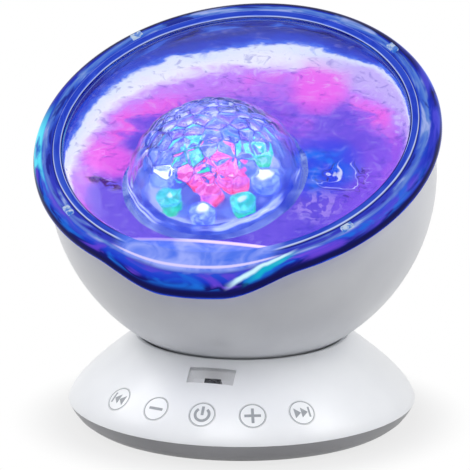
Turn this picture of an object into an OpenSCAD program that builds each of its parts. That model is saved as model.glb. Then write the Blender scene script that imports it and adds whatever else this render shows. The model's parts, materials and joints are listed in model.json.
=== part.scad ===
// Ocean wave projector: a tilting ball-shaped lamp head on a round speaker base.
// Millimetres, +Z up. The origin is on the table under the middle of the base, and -Y is the front.

/* [Bowl] */
// Outer radius of the white bowl
bowl_r = 72.5; // [71:0.5:78]
// Wall of the bowl
bowl_wall = 2.5; // [2:0.1:3.2]
// Height of the bowl's rim above the bowl's centre, along the head's axis
rim_height = 17; // [14:0.5:19]
// Lean of the head towards the front as it rests on its stop; it can be raised upright from there
tilt = 30; // [20:1:30]

/* [Clear cover] */
// How far the flange stands out past the bowl's rim
flange_reach = 5.5; // [4.8:0.1:7]
// Thickness of the flange over the bowl's rim
flange_thick = 3.4; // [2.4:0.1:4]
// How far the flange's skirt hangs below the bowl's rim
skirt_drop = 1.5; // [0.8:0.1:2.5]
// Rise of the domed middle above the flange
cover_rise = 8.5; // [6:0.5:14]
// Wall of the domed middle
cover_wall = 2.2; // [1.6:0.1:3]
// Distance of the raised ridge from the bowl's inner wall
ridge_inset = 1.2; // [1:0.1:1.6]
// Width of the ridge
ridge_width = 2.8; // [2:0.1:3]
// Height of the ridge
ridge_height = 0.9; // [0.4:0.1:1.5]
// Half of the angle over which the ridge is left out at the front
ridge_gap_angle = 19; // [14:1:22]
// Half of the angle that the front lip takes
lip_half_angle = 30; // [24:1:36]
// How far the front lip dips below the skirt
lip_drop = 6; // [3:0.5:7]
// How far the front lip stands out past the flange
lip_reach = 1.5; // [0.5:0.1:3]
// Depth of the spigot that the cover puts into the bowl
spigot_depth = 3.4; // [2:0.1:4]
// Wall of the spigot
spigot_wall = 1.4; // [1:0.1:2]
// Clearance of the cover round the bowl and in it
cover_gap = 0.4; // [0.3:0.05:0.6]
// Length of a snap clip along the flange
clip_length = 4.4; // [3:0.1:6]
// Height of a snap clip
clip_height = 1.1; // [0.6:0.1:1.6]

/* [Ripple dome and its drive] */
// Module of the gear teeth
gear_module = 1; // [0.9:0.05:1.1]
// Teeth on the ring that carries the dome
ring_teeth = 70; // [68:1:74]
// Teeth on the motor's pinion
pinion_teeth = 14; // [13:1:16]
// Play between the teeth at the pitch circle
backlash = 0.3; // [0.2:0.05:0.4]
// Height of the gear teeth along the axis
gear_face = 5; // [3:0.5:6]
// How far the dome stands to the left of the bowl's axis, to make room for the motor beside it
dome_shift = 11; // [8:0.5:12]
// Height of the ripple dome above its ring
dome_height = 29.5; // [24:0.5:31]
// Wall of the ripple dome
dome_wall = 2; // [1.5:0.1:3]
// Height of the ripples on the dome
ripple_height = 0.7; // [0.3:0.1:1]
// Thickness of the drive ring from its bore to the root of its teeth
ring_web = 5; // [4:0.1:6]
// Wall of the collar that the ring turns on
collar_wall = 2.6; // [2:0.1:4]
// Height of the collar above the deck
collar_height = 9; // [8:0.5:10]
// Running clearance of shafts and rings
running_gap = 0.06; // [0.02:0.01:0.09]

/* [Deck, lamps and motor] */
// Depth of the deck's underside below the bowl's centre
deck_depth = 15; // [14:0.5:17]
// Thickness of the deck
deck_thick = 2.5; // [2:0.1:3]
// Gap between the deck's edge and the bowl
deck_gap = 5; // [3:0.5:6]
// Thickness of the heat sink
sink_thick = 3; // [2:0.1:4]
// Thickness of every circuit board
board_thick = 1.6; // [1:0.1:2]
// Side of a lamp chip
chip_side = 5; // [3.5:0.1:5.6]
// Height of a lamp chip
chip_height = 1.5; // [1:0.1:2]
// Radius of the inner circle of lamps
inner_lamps_r = 8; // [7.5:0.5:8.5]
// Radius of the outer circle of lamps
outer_lamps_r = 19.5; // [19:0.5:20]
// Height of a lamp's lens above its board
lens_height = 7; // [5:0.5:8]
// Radius of a lamp's lens at its top
lens_r = 5; // [4.8:0.1:5.2]
// Radius of the gear motor
motor_r = 8; // [7:0.5:9]
// Length of the gear motor
motor_length = 10; // [9:0.5:12]
// Radius of the motor's shaft
shaft_r = 1.5; // [1:0.1:2]
// Wall of the reflector
reflector_wall = 1.6; // [1.2:0.1:2]

/* [Tilt joint] */
// Gap between the bowl and the dish of the base
seat_gap = 0.6; // [0.6:0.1:1.2]
// How far short of upright the raised head stops, in degrees
upright_stop = 2; // [1:1:4]
// Gap between sliding spheres of the tilt joint
slide_gap = 0.3; // [0.2:0.05:0.4]
// Radius of the hollow stem
stem_r = 3; // [2.6:0.1:3.2]
// Radius of the stem's bore
stem_bore_r = 1.8; // [1.6:0.1:1.9]
// Radius of the saddle inside the bowl
saddle_r = 10; // [8:0.5:11]
// Height of the saddle's flat top above the bowl's inner wall
saddle_height = 4.6; // [3.5:0.1:6]
// Number of spring washers
washer_count = 3; // [2:1:4]

/* [Base] */
// Height of the dish's lip above the table
base_height = 33.6; // [33:0.2:37]
// Radius of the dish's lip
lip_r = 39; // [38:0.5:40]
// Largest radius of the base
base_r = 65.6; // [64:0.2:69]
// Height of the seam between cover and tray
seam_z = 8.6; // [8.2:0.1:9]
// Wall of the base's cover and tray
base_wall = 2.2; // [1.8:0.1:2.6]
// How far the tray's underside is drawn in from the seam
tray_inset = 6.6; // [5:0.2:8]
// Radius of a rubber foot
foot_r = 6; // [4:0.5:7]
// Height that the feet stand out below the tray
foot_stand = 1.2; // [0.8:0.1:1.6]
// Depth that the feet are let into the tray
foot_sink = 0.8; // [0.4:0.1:1]

/* [Buttons] */
// Radius of a button's hole
button_r = 5; // [4.5:0.1:5.5]
// Gap round a button
button_gap = 0.15; // [0.1:0.05:0.3]
// Angle between neighbouring buttons
button_pitch = 18; // [16:0.2:19]
// Place of the buttons on the slope, from the lip at 0 to the seam at 1
button_place = 0.58; // [0.57:0.01:0.62]
// Travel of a button
button_travel = 0.5; // [0.3:0.1:0.8]

/* [Remote window] */
// Width of the window for the remote's receiver
window_width = 17.5; // [14:0.5:20]
// Height of the window along the slope
window_height = 7; // [6:0.2:7]
// Place of the window on the slope
window_place = 0.16; // [0.16:0.01:0.2]
// Depth of the shroud behind the window
shroud_depth = 9; // [8:0.5:9.5]

/* [Sockets and speaker] */
// Radius of the audio jack's bore
jack_bore_r = 1.8; // [1.75:0.05:2]
// Depth of the audio jack's bore
jack_depth = 14; // [12:0.5:16]
// Distance between neighbouring sockets
socket_pitch = 18; // [17:0.5:20]
// Outer radius of the speaker
speaker_r = 20; // [17:0.5:21]
// Gap between the speaker's magnet and the lead that passes over it
lead_room = 0.3; // [0.2:0.1:2]
// Radius of the speaker's magnet
magnet_r = 10; // [8:0.5:11]

/* [Hidden] */
$fn = 96;

// Colours of the finishes
white = "whitesmoke";
grey = "darkgray";
clear = "lightsteelblue";
black = "dimgray";
steel = "silver";
green_mask = "seagreen";

// How far a cut runs past the face it opens, and the gaps of parts that are pressed home or screwed in
over = 1;
home_gap = 0.1;
thread_gap = 0.05;

function radius_at(r, z) = sqrt(r * r - z * z);
function unit(v) = v / norm(v);
function smooth(x) = let (c = max(0, min(1, x))) c * c * (3 - 2 * c);
function bezier(p, t) = pow(1 - t, 3) * p[0] + 3 * t * pow(1 - t, 2) * p[1]
    + 3 * t * t * (1 - t) * p[2] + pow(t, 3) * p[3];
function bezier_way(p, t) = 3 * (pow(1 - t, 2) * (p[1] - p[0]) + 2 * t * (1 - t) * (p[2] - p[1])
    + t * t * (p[3] - p[2]));
// Outward normal of a profile that runs outwards and down, and a point taken in along it
function bezier_normal(p, t) = let (w = unit(bezier_way(p, t))) [-w[1], w[0]];
function inset(p, t, depth) = bezier(p, t) - depth * bezier_normal(p, t);

// Tilt joint, worked out from the bowl's centre
dish_r = bowl_r + seat_gap;
center_z = base_height + radius_at(dish_r, lip_r);
bowl_in = bowl_r - bowl_wall;
slot_half = stem_r + home_gap;
stem_flange_r = 7;
stem_flange = 1.6;
stem_bottom = center_z - dish_r - base_wall - stem_flange;

// Base slope and tray side: each a cubic curve in radius and height
lip_width = 1.2;
slope_top = lip_r + lip_width;
slope_width = base_r - slope_top;
slope_height = base_height - seam_z;
slope_shoulder = 2.1;
slope = [[slope_top, base_height],
         [slope_top + 0.465 * slope_width, seam_z + 0.63 * slope_height],
         [base_r - slope_shoulder, seam_z + 0.275 * slope_height],
         [base_r, seam_z]];
seam_gap = 0.2;
tray_z = foot_stand;
tray_top = seam_z - seam_gap;
tray_foot_r = base_r - tray_inset;
tray_curve = [[base_r - seam_gap, tray_top],
              [base_r - seam_gap - 0.8, tray_top - 2.4],
              [tray_foot_r + 3, tray_z + 1.6],
              [tray_foot_r, tray_z]];
floor_z = tray_z + base_wall;
curve_steps = 28;

// Places children in the head's own frame: origin at the bowl's centre, +Z along the head's axis
module in_head() {
    translate([0, 0, center_z]) rotate([tilt, 0, 0]) children();
}

// Places children on the base's slope, their +Z along the outward normal; angle 0 is the front
module on_slope(angle, place) {
    at = bezier(slope, place);
    way = bezier_normal(slope, place);
    rotate([0, 0, angle]) translate([0, -at[0], at[1]]) rotate([atan2(way[0], way[1]), 0, 0]) children();
}

module tube(r_out, r_in, h) {
    difference() {
        cylinder(r = r_out, h = h);
        translate([0, 0, -over]) cylinder(r = r_in, h = h + 2 * over);
    }
}

// Copies children round the axis at a radius, at each of the angles from +X
module around(angles, r) {
    for (angle = angles) rotate([0, 0, angle]) translate([r, 0, 0]) children();
}

// A pan-head screw whose head sits on z = 0 and whose shank points down
module screw(shank_r, length, head_r, head_h) {
    slot_w = head_r * 0.24;
    slot_l = head_r * 1.2;
    difference() {
        union() {
            cylinder(r = head_r, h = head_h);
            translate([0, 0, -length]) cylinder(r = shank_r, h = length + head_h / 2);
        }
        for (turn = [0, 90]) rotate([0, 0, turn]) translate([-slot_l / 2, -slot_w / 2, head_h / 2])
            cube([slot_l, slot_w, head_h]);
    }
}

// Lead of the head and its level under the stem
lead_r = 1.1;
lead_level = stem_bottom - lead_r - 0.5;
knuckle = 1.5;

// A wire along straight stretches, with a knuckle at each bend
module wire(points, r) {
    for (i = [0 : len(points) - 2]) {
        way = points[i + 1] - points[i];
        translate(points[i]) rotate([0, acos(way[2] / norm(way)), atan2(way[1], way[0])])
            cylinder(r = r, h = norm(way));
    }
    for (i = [1 : len(points) - 2]) translate(points[i]) sphere(r = r * knuckle);
}

// Base tray, feet and screws

screw_hole_r = 1.3;
screw_shank_r = screw_hole_r - thread_gap;
screw_clear = 0.4;
screw_head_r = 3;
screw_head_h = 1.2;
head_gap = 0.3;
boss_r = 3.5;
boss_bottom = floor_z + 1.8;
boss_hole = 10;
boss_edge = 12;
tray_screw_circle = tray_foot_r - boss_edge;
strip_half_angle = 2 * button_pitch + 5;
boss_front = strip_half_angle + 9;
boss_angles = [-90 - boss_front, -90 + boss_front, 45, 135];
foot_edge = 7;
foot_gap = 0.02;
foot_circle = tray_foot_r - foot_r - foot_edge;
foot_angles = [0, 90, 180, 270];
tray_lip_wall = 1.6;
tray_lip_gap = 0.5;
tray_lip_top = seam_z + 1.4;
tray_lip_r = slope_r(tray_lip_top) - base_wall - tray_lip_gap;
tray_lip_in = tray_lip_r - tray_lip_wall;
tray_lip_root = 5;
post_r = 2.5;
post_floor = 1;
speaker_post_circle = speaker_r + post_r + 0.4;
speaker_post_angles = [90, 210, 330];
speaker_flange = 1;
gasket_thick = 1;
gasket_width = 3;
grille_pitch = 5;
grille_width = 2;
grille_r = speaker_r - gasket_width - 1;
grille_rows = floor(grille_r / grille_pitch - 0.5);
board_post_r = 2.6;
board_rise = 5.6;
board_z = floor_z + board_rise;
board_top = board_z + board_thick;
boss_room = 0.7;
board_size = [2 * (tray_screw_circle * sqrt(0.5) - boss_r - boss_room), 27];
board_back = radius_at(tray_lip_in - 1.5, board_size[0] / 2);
board_front = board_back - board_size[1];
board_post_edge = 5;
board_post_x = board_size[0] / 2 - board_post_edge;
board_posts = [[-board_post_x, board_front + board_post_edge], [board_post_x, board_front + board_post_edge],
               [-socket_pitch / 2, board_back - board_post_edge]];
board_screw_r = 1;
board_screw_length = 5;
speaker_screw_r = 1.1;
speaker_screw_length = 2.6;

// Solid of revolution inside the tray's side, taken in by a depth; an inner one is open at the top
module tray_solid(depth) {
    top = tray_top + (depth > 0 ? over : 0);
    bottom = tray_z + depth;
    side = [for (i = [0 : curve_steps]) inset(tray_curve, i / curve_steps, depth)];
    rotate_extrude() polygon(concat(
        [[0, bottom], [0, top], [side[0][0], top]],
        [for (p = side) if (p[1] > bottom + 0.01 && p[1] < tray_top + 0.001) p],
        [[side[curve_steps][0], bottom]]));
}

module base_tray() color(grey) difference() {
    union() {
        difference() {
            tray_solid(0);
            tray_solid(base_wall);
        }
        // Lip that finds the cover's inside
        translate([0, 0, seam_z - tray_lip_root])
            tube(tray_lip_r, tray_lip_in, tray_lip_top - seam_z + tray_lip_root);
        translate([0, 0, floor_z - over / 2]) {
            around(boss_angles, tray_screw_circle) cylinder(r = boss_r, h = boss_bottom - floor_z + over / 2);
            around(speaker_post_angles, speaker_post_circle)
                cylinder(r = post_r, h = gasket_thick + speaker_flange + over / 2);
            for (p = board_posts) translate([p[0], p[1], 0])
                cylinder(r = board_post_r, h = board_rise + over / 2);
        }
    }
    around(boss_angles, tray_screw_circle) translate([0, 0, -over]) {
        cylinder(r = screw_hole_r + screw_clear, h = boss_bottom + 2 * over);
        cylinder(r = screw_head_r + head_gap, h = tray_z + screw_head_h + head_gap + over);
    }
    around(foot_angles, foot_circle) translate([0, 0, -over])
        cylinder(r = foot_r + home_gap, h = tray_z + foot_sink + over);
    around(speaker_post_angles, speaker_post_circle) translate([0, 0, tray_z + post_floor])
        cylinder(r = speaker_screw_r + thread_gap, h = board_rise);
    for (p = board_posts) translate([p[0], p[1], floor_z + post_floor / 2])
        cylinder(r = board_screw_r + thread_gap, h = board_rise);
    // Slots that let the sound out
    for (row = [-grille_rows : grille_rows]) {
        half = radius_at(grille_r, row * grille_pitch);
        translate([-half, row * grille_pitch - grille_width / 2, 0])
            cube([2 * half, grille_width, floor_z + over]);
    }
}

module rubber_feet() color(black) around(foot_angles, foot_circle)
    cylinder(r = foot_r, h = foot_stand + foot_sink - foot_gap);

module tray_screws() color(steel) around(boss_angles, tray_screw_circle)
    translate([0, 0, tray_z + screw_head_h + head_gap]) rotate([180, 0, 0])
        screw(screw_shank_r, boss_bottom + boss_hole - tray_z - screw_head_h - 2, screw_head_r, screw_head_h);

// Speaker, facing down through the tray's slots

speaker_z = floor_z + gasket_thick;
speaker_height = lead_level - knuckle * lead_r - lead_room - speaker_z;
basket_h = speaker_height / 2;
basket_r = magnet_r + 1;
sheet = 0.8;
cone_gap = 0.3;
dust_cap_r = 4;

module speaker_gasket() color(black) translate([0, 0, floor_z])
    tube(speaker_r, speaker_r - gasket_width, gasket_thick);

module speaker_frame() color(steel) translate([0, 0, speaker_z]) rotate_extrude() polygon([
    [speaker_r - gasket_width, 0], [speaker_r, 0], [speaker_r, speaker_flange],
    [speaker_r - gasket_width + sheet, speaker_flange], [basket_r, basket_h], [dust_cap_r, basket_h],
    [dust_cap_r, basket_h - sheet], [basket_r - sheet / 2, basket_h - sheet],
    [speaker_r - gasket_width, speaker_flange / 2]]);

module speaker_cone() color(black) translate([0, 0, speaker_z]) {
    cap = basket_h - sheet - cone_gap;
    rim = speaker_r - gasket_width - cone_gap;
    throat = basket_r - gasket_width;
    rotate_extrude() polygon([
        [rim - sheet / 2, 0], [rim, cone_gap], [throat, cap - sheet], [dust_cap_r, cap], [0, cap],
        [0, cap - sheet], [dust_cap_r - sheet / 2, cap - sheet], [throat - sheet, cap - 2 * sheet]]);
}

module speaker_magnet() color(steel) translate([0, 0, speaker_z + basket_h])
    cylinder(r = magnet_r, h = speaker_height - basket_h);

module speaker_screws() color(steel) around(speaker_post_angles, speaker_post_circle)
    translate([0, 0, speaker_z + speaker_flange])
        screw(speaker_screw_r, speaker_screw_length, post_r + 1.2, screw_head_h);

// Base cover: a sloped shell with the dish on top

cap_depth = base_wall + 0.7;
key_collar = 1.2;
key_collar_r = button_r + 1;
plunger_r = 1.5;
plunger_end = cap_depth + key_collar + 0.9;
switch_plunger = 0.8;
switch_plunger_r = 1.4;
switch_height = 2;
switch_side = 4.6;
strip_depth = plunger_end + button_travel + home_gap + switch_plunger + switch_height;
key_post_r = 2;
key_post_angles = [-1.5 * button_pitch, 1.5 * button_pitch];
key_screw_r = 0.9;
key_screw_length = 3.8;
stem_hole_r = stem_r + running_gap;
stem_pad_r = 8;
groove_r = 30;
groove_width = 4.4;
groove_depth = 0.8;
groove_gap = 0.1;
nose_r = 2.6;
mouth_gap = 0.3;
socket_z = board_top + nose_r;
power_size = [8, 9, 3];
card_size = [13, 13, 1.8];

// Solid of revolution under the slope, taken in by a depth; an inner one is open at the bottom
module slope_solid(depth) {
    bottom = seam_z - (depth > 0 ? over : 0);
    rotate_extrude() polygon(concat(
        [[0, bottom], [0, base_height]],
        [for (i = [0 : curve_steps]) inset(slope, i / curve_steps, depth)],
        [[inset(slope, 1, depth)[0], bottom]]));
}

// Layer of a ball round the bowl's centre, kept between two radii from the base's axis
module ball_band(ball_out, ball_in, r_out, r_in) translate([0, 0, center_z]) intersection() {
    difference() {
        sphere(r = ball_out);
        sphere(r = ball_in);
    }
    translate([0, 0, -ball_out - over]) tube(r_out, r_in, ball_out);
}

// Cut for a box-shaped socket at the back
module mouth(x, size) {
    translate([x - size[0] / 2 - mouth_gap, board_back, board_top - mouth_gap])
        cube([size[0] + 2 * mouth_gap, base_r, size[2] + 2 * mouth_gap]);
}

module base_cover() color(white) difference() {
    union() {
        difference() {
            slope_solid(0);
            difference() {
                slope_solid(base_wall);
                translate([0, 0, center_z]) sphere(r = dish_r + base_wall);
            }
        }
        // Screw bosses for the tray and posts for the key board
        intersection() {
            union() {
                around(boss_angles, tray_screw_circle) translate([0, 0, boss_bottom])
                    cylinder(r = boss_r, h = base_height);
                for (angle = key_post_angles) on_slope(angle, button_place) translate([0, 0, -strip_depth])
                    cylinder(r = key_post_r, h = strip_depth);
            }
            slope_solid(base_wall / 2);
        }
        // Flat pad under the dish that the stem is clamped to
        translate([0, 0, center_z - dish_r - base_wall]) cylinder(r = stem_pad_r, h = base_wall);
    }
    translate([0, 0, center_z]) sphere(r = dish_r);
    ball_band(dish_r + groove_depth, dish_r - over, groove_r + groove_width / 2, groove_r - groove_width / 2);
    cylinder(r = stem_hole_r, h = base_height);
    around(boss_angles, tray_screw_circle) cylinder(r = screw_hole_r, h = boss_bottom + boss_hole);
    for (angle = key_post_angles) on_slope(angle, button_place) translate([0, 0, -strip_depth - over])
        cylinder(r = key_screw_r + thread_gap, h = key_screw_length + over);
    for (i = [-2 : 2]) on_slope(i * button_pitch, button_place) translate([0, 0, -cap_depth])
        cylinder(r = button_r, h = 2 * cap_depth);
    on_slope(0, window_place) translate([-window_width / 2, -window_height / 2, -2 * base_wall])
        cube([window_width, window_height, 3 * base_wall]);
    // Mouths of the sockets at the back
    translate([0, board_back, socket_z]) rotate([-90, 0, 0]) cylinder(r = nose_r + mouth_gap, h = base_r);
    mouth(-socket_pitch, power_size);
    mouth(socket_pitch, card_size);
}

// Main board and the sockets on its back edge

jack_body = [7, 12, 2 * nose_r];
nose_length = 8;
socket_sink = 0.6;
socket_wall = 0.5;
card_slot = 1.1;
board_screw_head_r = 2.2;

// Radius of the slope at a height, and how far back its outer face lies to one side of the middle
function slope_r(z) = let (hits = [for (i = [0 : curve_steps - 1]) let (a = bezier(slope, i / curve_steps),
    b = bezier(slope, (i + 1) / curve_steps)) if (a[1] >= z && b[1] < z)
    a[0] + (b[0] - a[0]) * (a[1] - z) / (a[1] - b[1])]) hits[0];
function wall_back(z, x) = radius_at(slope_r(z), x);
function socket_end(size) = wall_back(board_top + size[2], socket_pitch + size[0] / 2) - socket_sink;

nose_end = wall_back(socket_z, 0);

module main_board() color(green_mask) difference() {
    translate([-board_size[0] / 2, board_front, board_z]) cube([board_size[0], board_size[1], board_thick]);
    for (p = board_posts) translate([p[0], p[1], 0])
        cylinder(r = board_screw_r + screw_clear, h = base_height);
}

sound_chip = [9, 7, 1.6];
timer_chip = [6, 5, 1.4];
chip_edge = 2;
chip_pitch = 13;
can_r = 2.5;
can_height = 6;

module board_chips() color(black) translate([0, board_front + chip_edge, board_top]) {
    translate([-chip_pitch - sound_chip[0] / 2, 0, 0]) cube(sound_chip);
    translate([-timer_chip[0] / 2, 0, 0]) cube(timer_chip);
    translate([socket_pitch, chip_edge + timer_chip[1] + can_r, 0]) cylinder(r = can_r, h = can_height);
}

module board_screws() color(steel) for (p = board_posts) translate([p[0], p[1], board_top])
    screw(board_screw_r, board_screw_length, board_screw_head_r, screw_head_h);

module power_socket() color(steel) translate([-socket_pitch, socket_end(power_size), board_top])
    difference() {
        translate([-power_size[0] / 2, -power_size[1], 0]) cube(power_size);
        translate([-power_size[0] / 2 + socket_wall, -power_size[1] + 4 * socket_wall, socket_wall])
            cube([power_size[0] - 2 * socket_wall, power_size[1], power_size[2] - 2 * socket_wall]);
    }

module audio_jack() color(black) difference() {
    union() {
        translate([-jack_body[0] / 2, nose_end - nose_length - jack_body[1], board_top]) cube(jack_body);
        translate([0, nose_end - nose_length - over, socket_z]) rotate([-90, 0, 0])
            cylinder(r = nose_r, h = nose_length + over);
    }
    translate([0, nose_end - jack_depth, socket_z]) rotate([-90, 0, 0])
        cylinder(r = jack_bore_r, h = jack_depth + over);
}

module card_socket() color(steel) translate([socket_pitch, socket_end(card_size), board_top])
    difference() {
        translate([-card_size[0] / 2, -card_size[1], 0]) cube(card_size);
        translate([-card_size[0] / 2 + socket_wall, -card_size[1] + over, (card_size[2] - card_slot) / 2])
            cube([card_size[0] - 2 * socket_wall, card_size[1], card_slot]);
    }

// Key board: a curved strip behind the buttons, with flats for the switches

strip_thick = 1.2;
strip_flat = 0.6;
strip_half_width = 4.6;
strip_span = strip_half_width / norm(bezier_way(slope, button_place));
spot_face = 0.3;
key_screw_head_r = 2;
key_screw_head_h = 1;

module key_board() color(green_mask) difference() {
    rotate([0, 0, -90 - strip_half_angle]) rotate_extrude(angle = 2 * strip_half_angle) polygon([
        inset(slope, button_place - strip_span, strip_depth - strip_flat),
        inset(slope, button_place + strip_span, strip_depth - strip_flat),
        inset(slope, button_place + strip_span, strip_depth + strip_thick),
        inset(slope, button_place - strip_span, strip_depth + strip_thick)]);
    for (i = [-2 : 2]) on_slope(i * button_pitch, button_place)
        translate([-switch_side / 2 - head_gap, -switch_side / 2 - head_gap, -strip_depth])
            cube([switch_side + 2 * head_gap, switch_side + 2 * head_gap, switch_height]);
    for (angle = key_post_angles) on_slope(angle, button_place) {
        translate([0, 0, -strip_depth]) cylinder(r = key_post_r + head_gap, h = switch_height);
        translate([0, 0, -strip_depth - strip_thick - over])
            cylinder(r = key_screw_r + screw_clear / 2, h = 2 * strip_thick + over);
        translate([0, 0, -strip_depth - strip_thick + spot_face - 2 * over])
            cylinder(r = key_screw_head_r + head_gap, h = 2 * over);
    }
}

module key_screws() color(steel) for (angle = key_post_angles) on_slope(angle, button_place)
    translate([0, 0, -strip_depth - strip_thick + spot_face]) rotate([180, 0, 0])
        screw(key_screw_r, key_screw_length, key_screw_head_r, key_screw_head_h);

module tact_switches() color(black) for (i = [-2 : 2]) on_slope(i * button_pitch, button_place)
    translate([0, 0, -strip_depth]) {
        translate([-switch_side / 2, -switch_side / 2, 0]) cube([switch_side, switch_side, switch_height]);
        cylinder(r = switch_plunger_r, h = switch_height + switch_plunger);
    }

// One button: a cap flush with the slope, a collar under the wall and a plunger
module button(index) color(white) intersection() {
    on_slope(index * button_pitch, button_place) {
        translate([0, 0, -cap_depth - key_collar]) {
            cylinder(r = button_r - button_gap, h = 2 * cap_depth + key_collar);
            cylinder(r = key_collar_r, h = key_collar);
        }
        translate([0, 0, -plunger_end]) cylinder(r = plunger_r, h = plunger_end);
    }
    slope_solid(0);
}

module button_previous() button(-2);
module button_minus() button(-1);
module button_power() button(0);
module button_plus() button(1);
module button_next() button(2);

// Remote control window and receiver

window_sink = 0.3;
window_thick = 1.4;
shroud_wall = 1;
receiver_size = [6, 4.4, 4.6];
receiver_eye_r = 2;

// Box on the slope behind the window, from a depth outwards
module window_box(grow, depth) on_slope(0, window_place)
    translate([-window_width / 2 - grow, -window_height / 2 - grow, -depth])
        cube([window_width + 2 * grow, window_height + 2 * grow, depth + base_wall]);

module ir_window() color(clear) intersection() {
    window_box(-home_gap, shroud_depth);
    difference() {
        slope_solid(window_sink);
        slope_solid(window_sink + window_thick);
    }
}

module ir_shroud() color(grey) intersection() {
    difference() {
        window_box(shroud_wall, shroud_depth);
        window_box(0, shroud_depth - shroud_wall);
    }
    slope_solid(base_wall + home_gap);
}

module ir_receiver() color(black) on_slope(0, window_place)
    translate([0, -window_height / 2, -shroud_depth + shroud_wall]) {
        translate([-receiver_size[0] / 2, 0, 0]) cube(receiver_size);
        translate([0, receiver_size[1] / 2, receiver_size[2] - receiver_eye_r / 3])
            sphere(r = receiver_eye_r);
    }

// Tilt joint: a stem from the base clamps the bowl between a friction ring and a sprung saddle

nut_height = 3.6;
nut_r = 6;
washer_sheet = 0.6;
washer_cone = 0.9;
washer_gap = 0.2;
washer_r = saddle_r - 2;
washer_step = washer_sheet + washer_cone + home_gap;
saddle_top = center_z - bowl_in + saddle_height;
nut_z = saddle_top + washer_count * washer_step + home_gap;
stem_top = nut_z + nut_height + over;

module seat_ring() color(black) ball_band(dish_r + groove_depth - thread_gap, bowl_r + slide_gap,
    groove_r + groove_width / 2 - groove_gap, groove_r - groove_width / 2 + groove_gap);

module tilt_stem() color(steel) translate([0, 0, stem_bottom]) difference() {
    union() {
        cylinder(r = stem_flange_r, h = stem_flange);
        cylinder(r = stem_r, h = stem_top - stem_bottom);
    }
    translate([0, 0, -over]) cylinder(r = stem_bore_r, h = stem_top);
}

module tilt_saddle() color(grey) difference() {
    intersection() {
        translate([0, 0, center_z]) sphere(r = bowl_in - slide_gap);
        translate([0, 0, center_z - bowl_r]) cylinder(r = saddle_r, h = saddle_top - center_z + bowl_r);
    }
    cylinder(r = stem_hole_r, h = center_z);
}

// Conical washers, stacked with every second one turned over
module tilt_washers() color(steel) for (i = [0 : washer_count - 1]) {
    inner_z = i % 2 == 0 ? washer_cone : 0;
    outer_z = washer_cone - inner_z;
    bore = stem_r + washer_gap;
    translate([0, 0, saddle_top + home_gap / 2 + i * washer_step]) rotate_extrude() polygon([
        [bore, inner_z], [washer_r, outer_z], [washer_r, outer_z + washer_sheet],
        [bore, inner_z + washer_sheet]]);
}

module tilt_nut() color(steel) difference() {
    translate([0, 0, nut_z]) cylinder(r = nut_r, h = nut_height, $fn = 6);
    cylinder(r = stem_r + thread_gap, h = center_z);
}

lead_x = 10;
plug_size = [7, 5, 6];
header_size = [7, 5, 5];

module base_lead() color(black) {
    wire([[lead_x, board_front + 6, board_top + 2], [lead_x, board_front + 6, lead_level],
          [lead_x, 0, lead_level], [0, 0, lead_level], [0, 0, stem_top + over]], lead_r);
    translate([lead_x - header_size[0] / 2, board_front + 3.5, board_top]) cube(header_size);
    translate([-plug_size[0] / 2, -plug_size[1] / 2, stem_top + over / 2]) cube(plug_size);
}

// Bowl

deck_r = radius_at(bowl_in, deck_depth) - deck_gap;
deck_screw_circle = deck_r - 6;
deck_screw_angles = [45, 135, 225, 315];

module bowl() color(white) in_head() difference() {
    union() {
        difference() {
            sphere(r = bowl_r);
            sphere(r = bowl_in);
            translate([-2 * bowl_r, -2 * bowl_r, rim_height]) cube(4 * bowl_r);
        }
        // Bosses that the deck is screwed to
        intersection() {
            around(deck_screw_angles, deck_screw_circle) translate([0, 0, -bowl_r])
                cylinder(r = boss_r, h = bowl_r - deck_depth);
            sphere(r = bowl_r - bowl_wall / 2);
        }
    }
    around(deck_screw_angles, deck_screw_circle) translate([0, 0, -deck_depth - boss_hole])
        cylinder(r = screw_hole_r, h = 2 * boss_hole);
    tilt_slot();
}

// Slot that the stem runs in as the head tilts; its far end stays under the dish's lip
module tilt_slot() {
    length = bowl_wall + 3 * over;
    for (lean = [upright_stop, tilt]) rotate([-lean, 0, 0]) translate([0, 0, -bowl_r - over])
        cylinder(r = slot_half, h = length);
    rotate([0, 90, 0]) rotate([0, 0, -tilt]) rotate_extrude(angle = tilt - upright_stop)
        translate([bowl_in - 2 * over, -slot_half]) square([length, 2 * slot_half]);
}

// Deck and what it carries

deck_top = -deck_depth + deck_thick;
ring_pitch_r = gear_module * ring_teeth / 2;
pinion_pitch_r = gear_module * pinion_teeth / 2;
gear_center = ring_pitch_r + pinion_pitch_r;
tooth_out = 0.8 * gear_module;
tooth_in = 1.1 * gear_module;
ring_root_r = ring_pitch_r - tooth_in;
ring_bore_r = ring_root_r - ring_web;
collar_r = ring_bore_r - running_gap;
slip_thick = 1;
slip_gap = 0.2;
gear_z = deck_top + slip_thick + slip_gap;
gear_top = gear_z + gear_face;
sink_r = collar_r - collar_wall - 0.5;
fin_gap = 2;
fin_pitch = 8;
lamp_board_z = deck_top + sink_thick;
lamp_z = lamp_board_z + board_thick;
leg_circle = deck_r - 7;
leg_angles = [20, 160, 200, 340];
leg_r = 3;
leg_hole = 6;
shaft_hole_r = shaft_r + 2.5;
motor_ear = motor_r + 4;
ear_edge = 3;
ear_thick = 1.2;
motor_screw_r = 1;
lead_hole_x = 13.5;
lead_hole_r = 3;

// Places children in the head with the dome's axis, or the motor's, as their own
module at_dome() in_head() translate([-dome_shift, 0, 0]) children();
module at_motor() in_head() translate([gear_center - dome_shift, 0, 0]) children();

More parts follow.
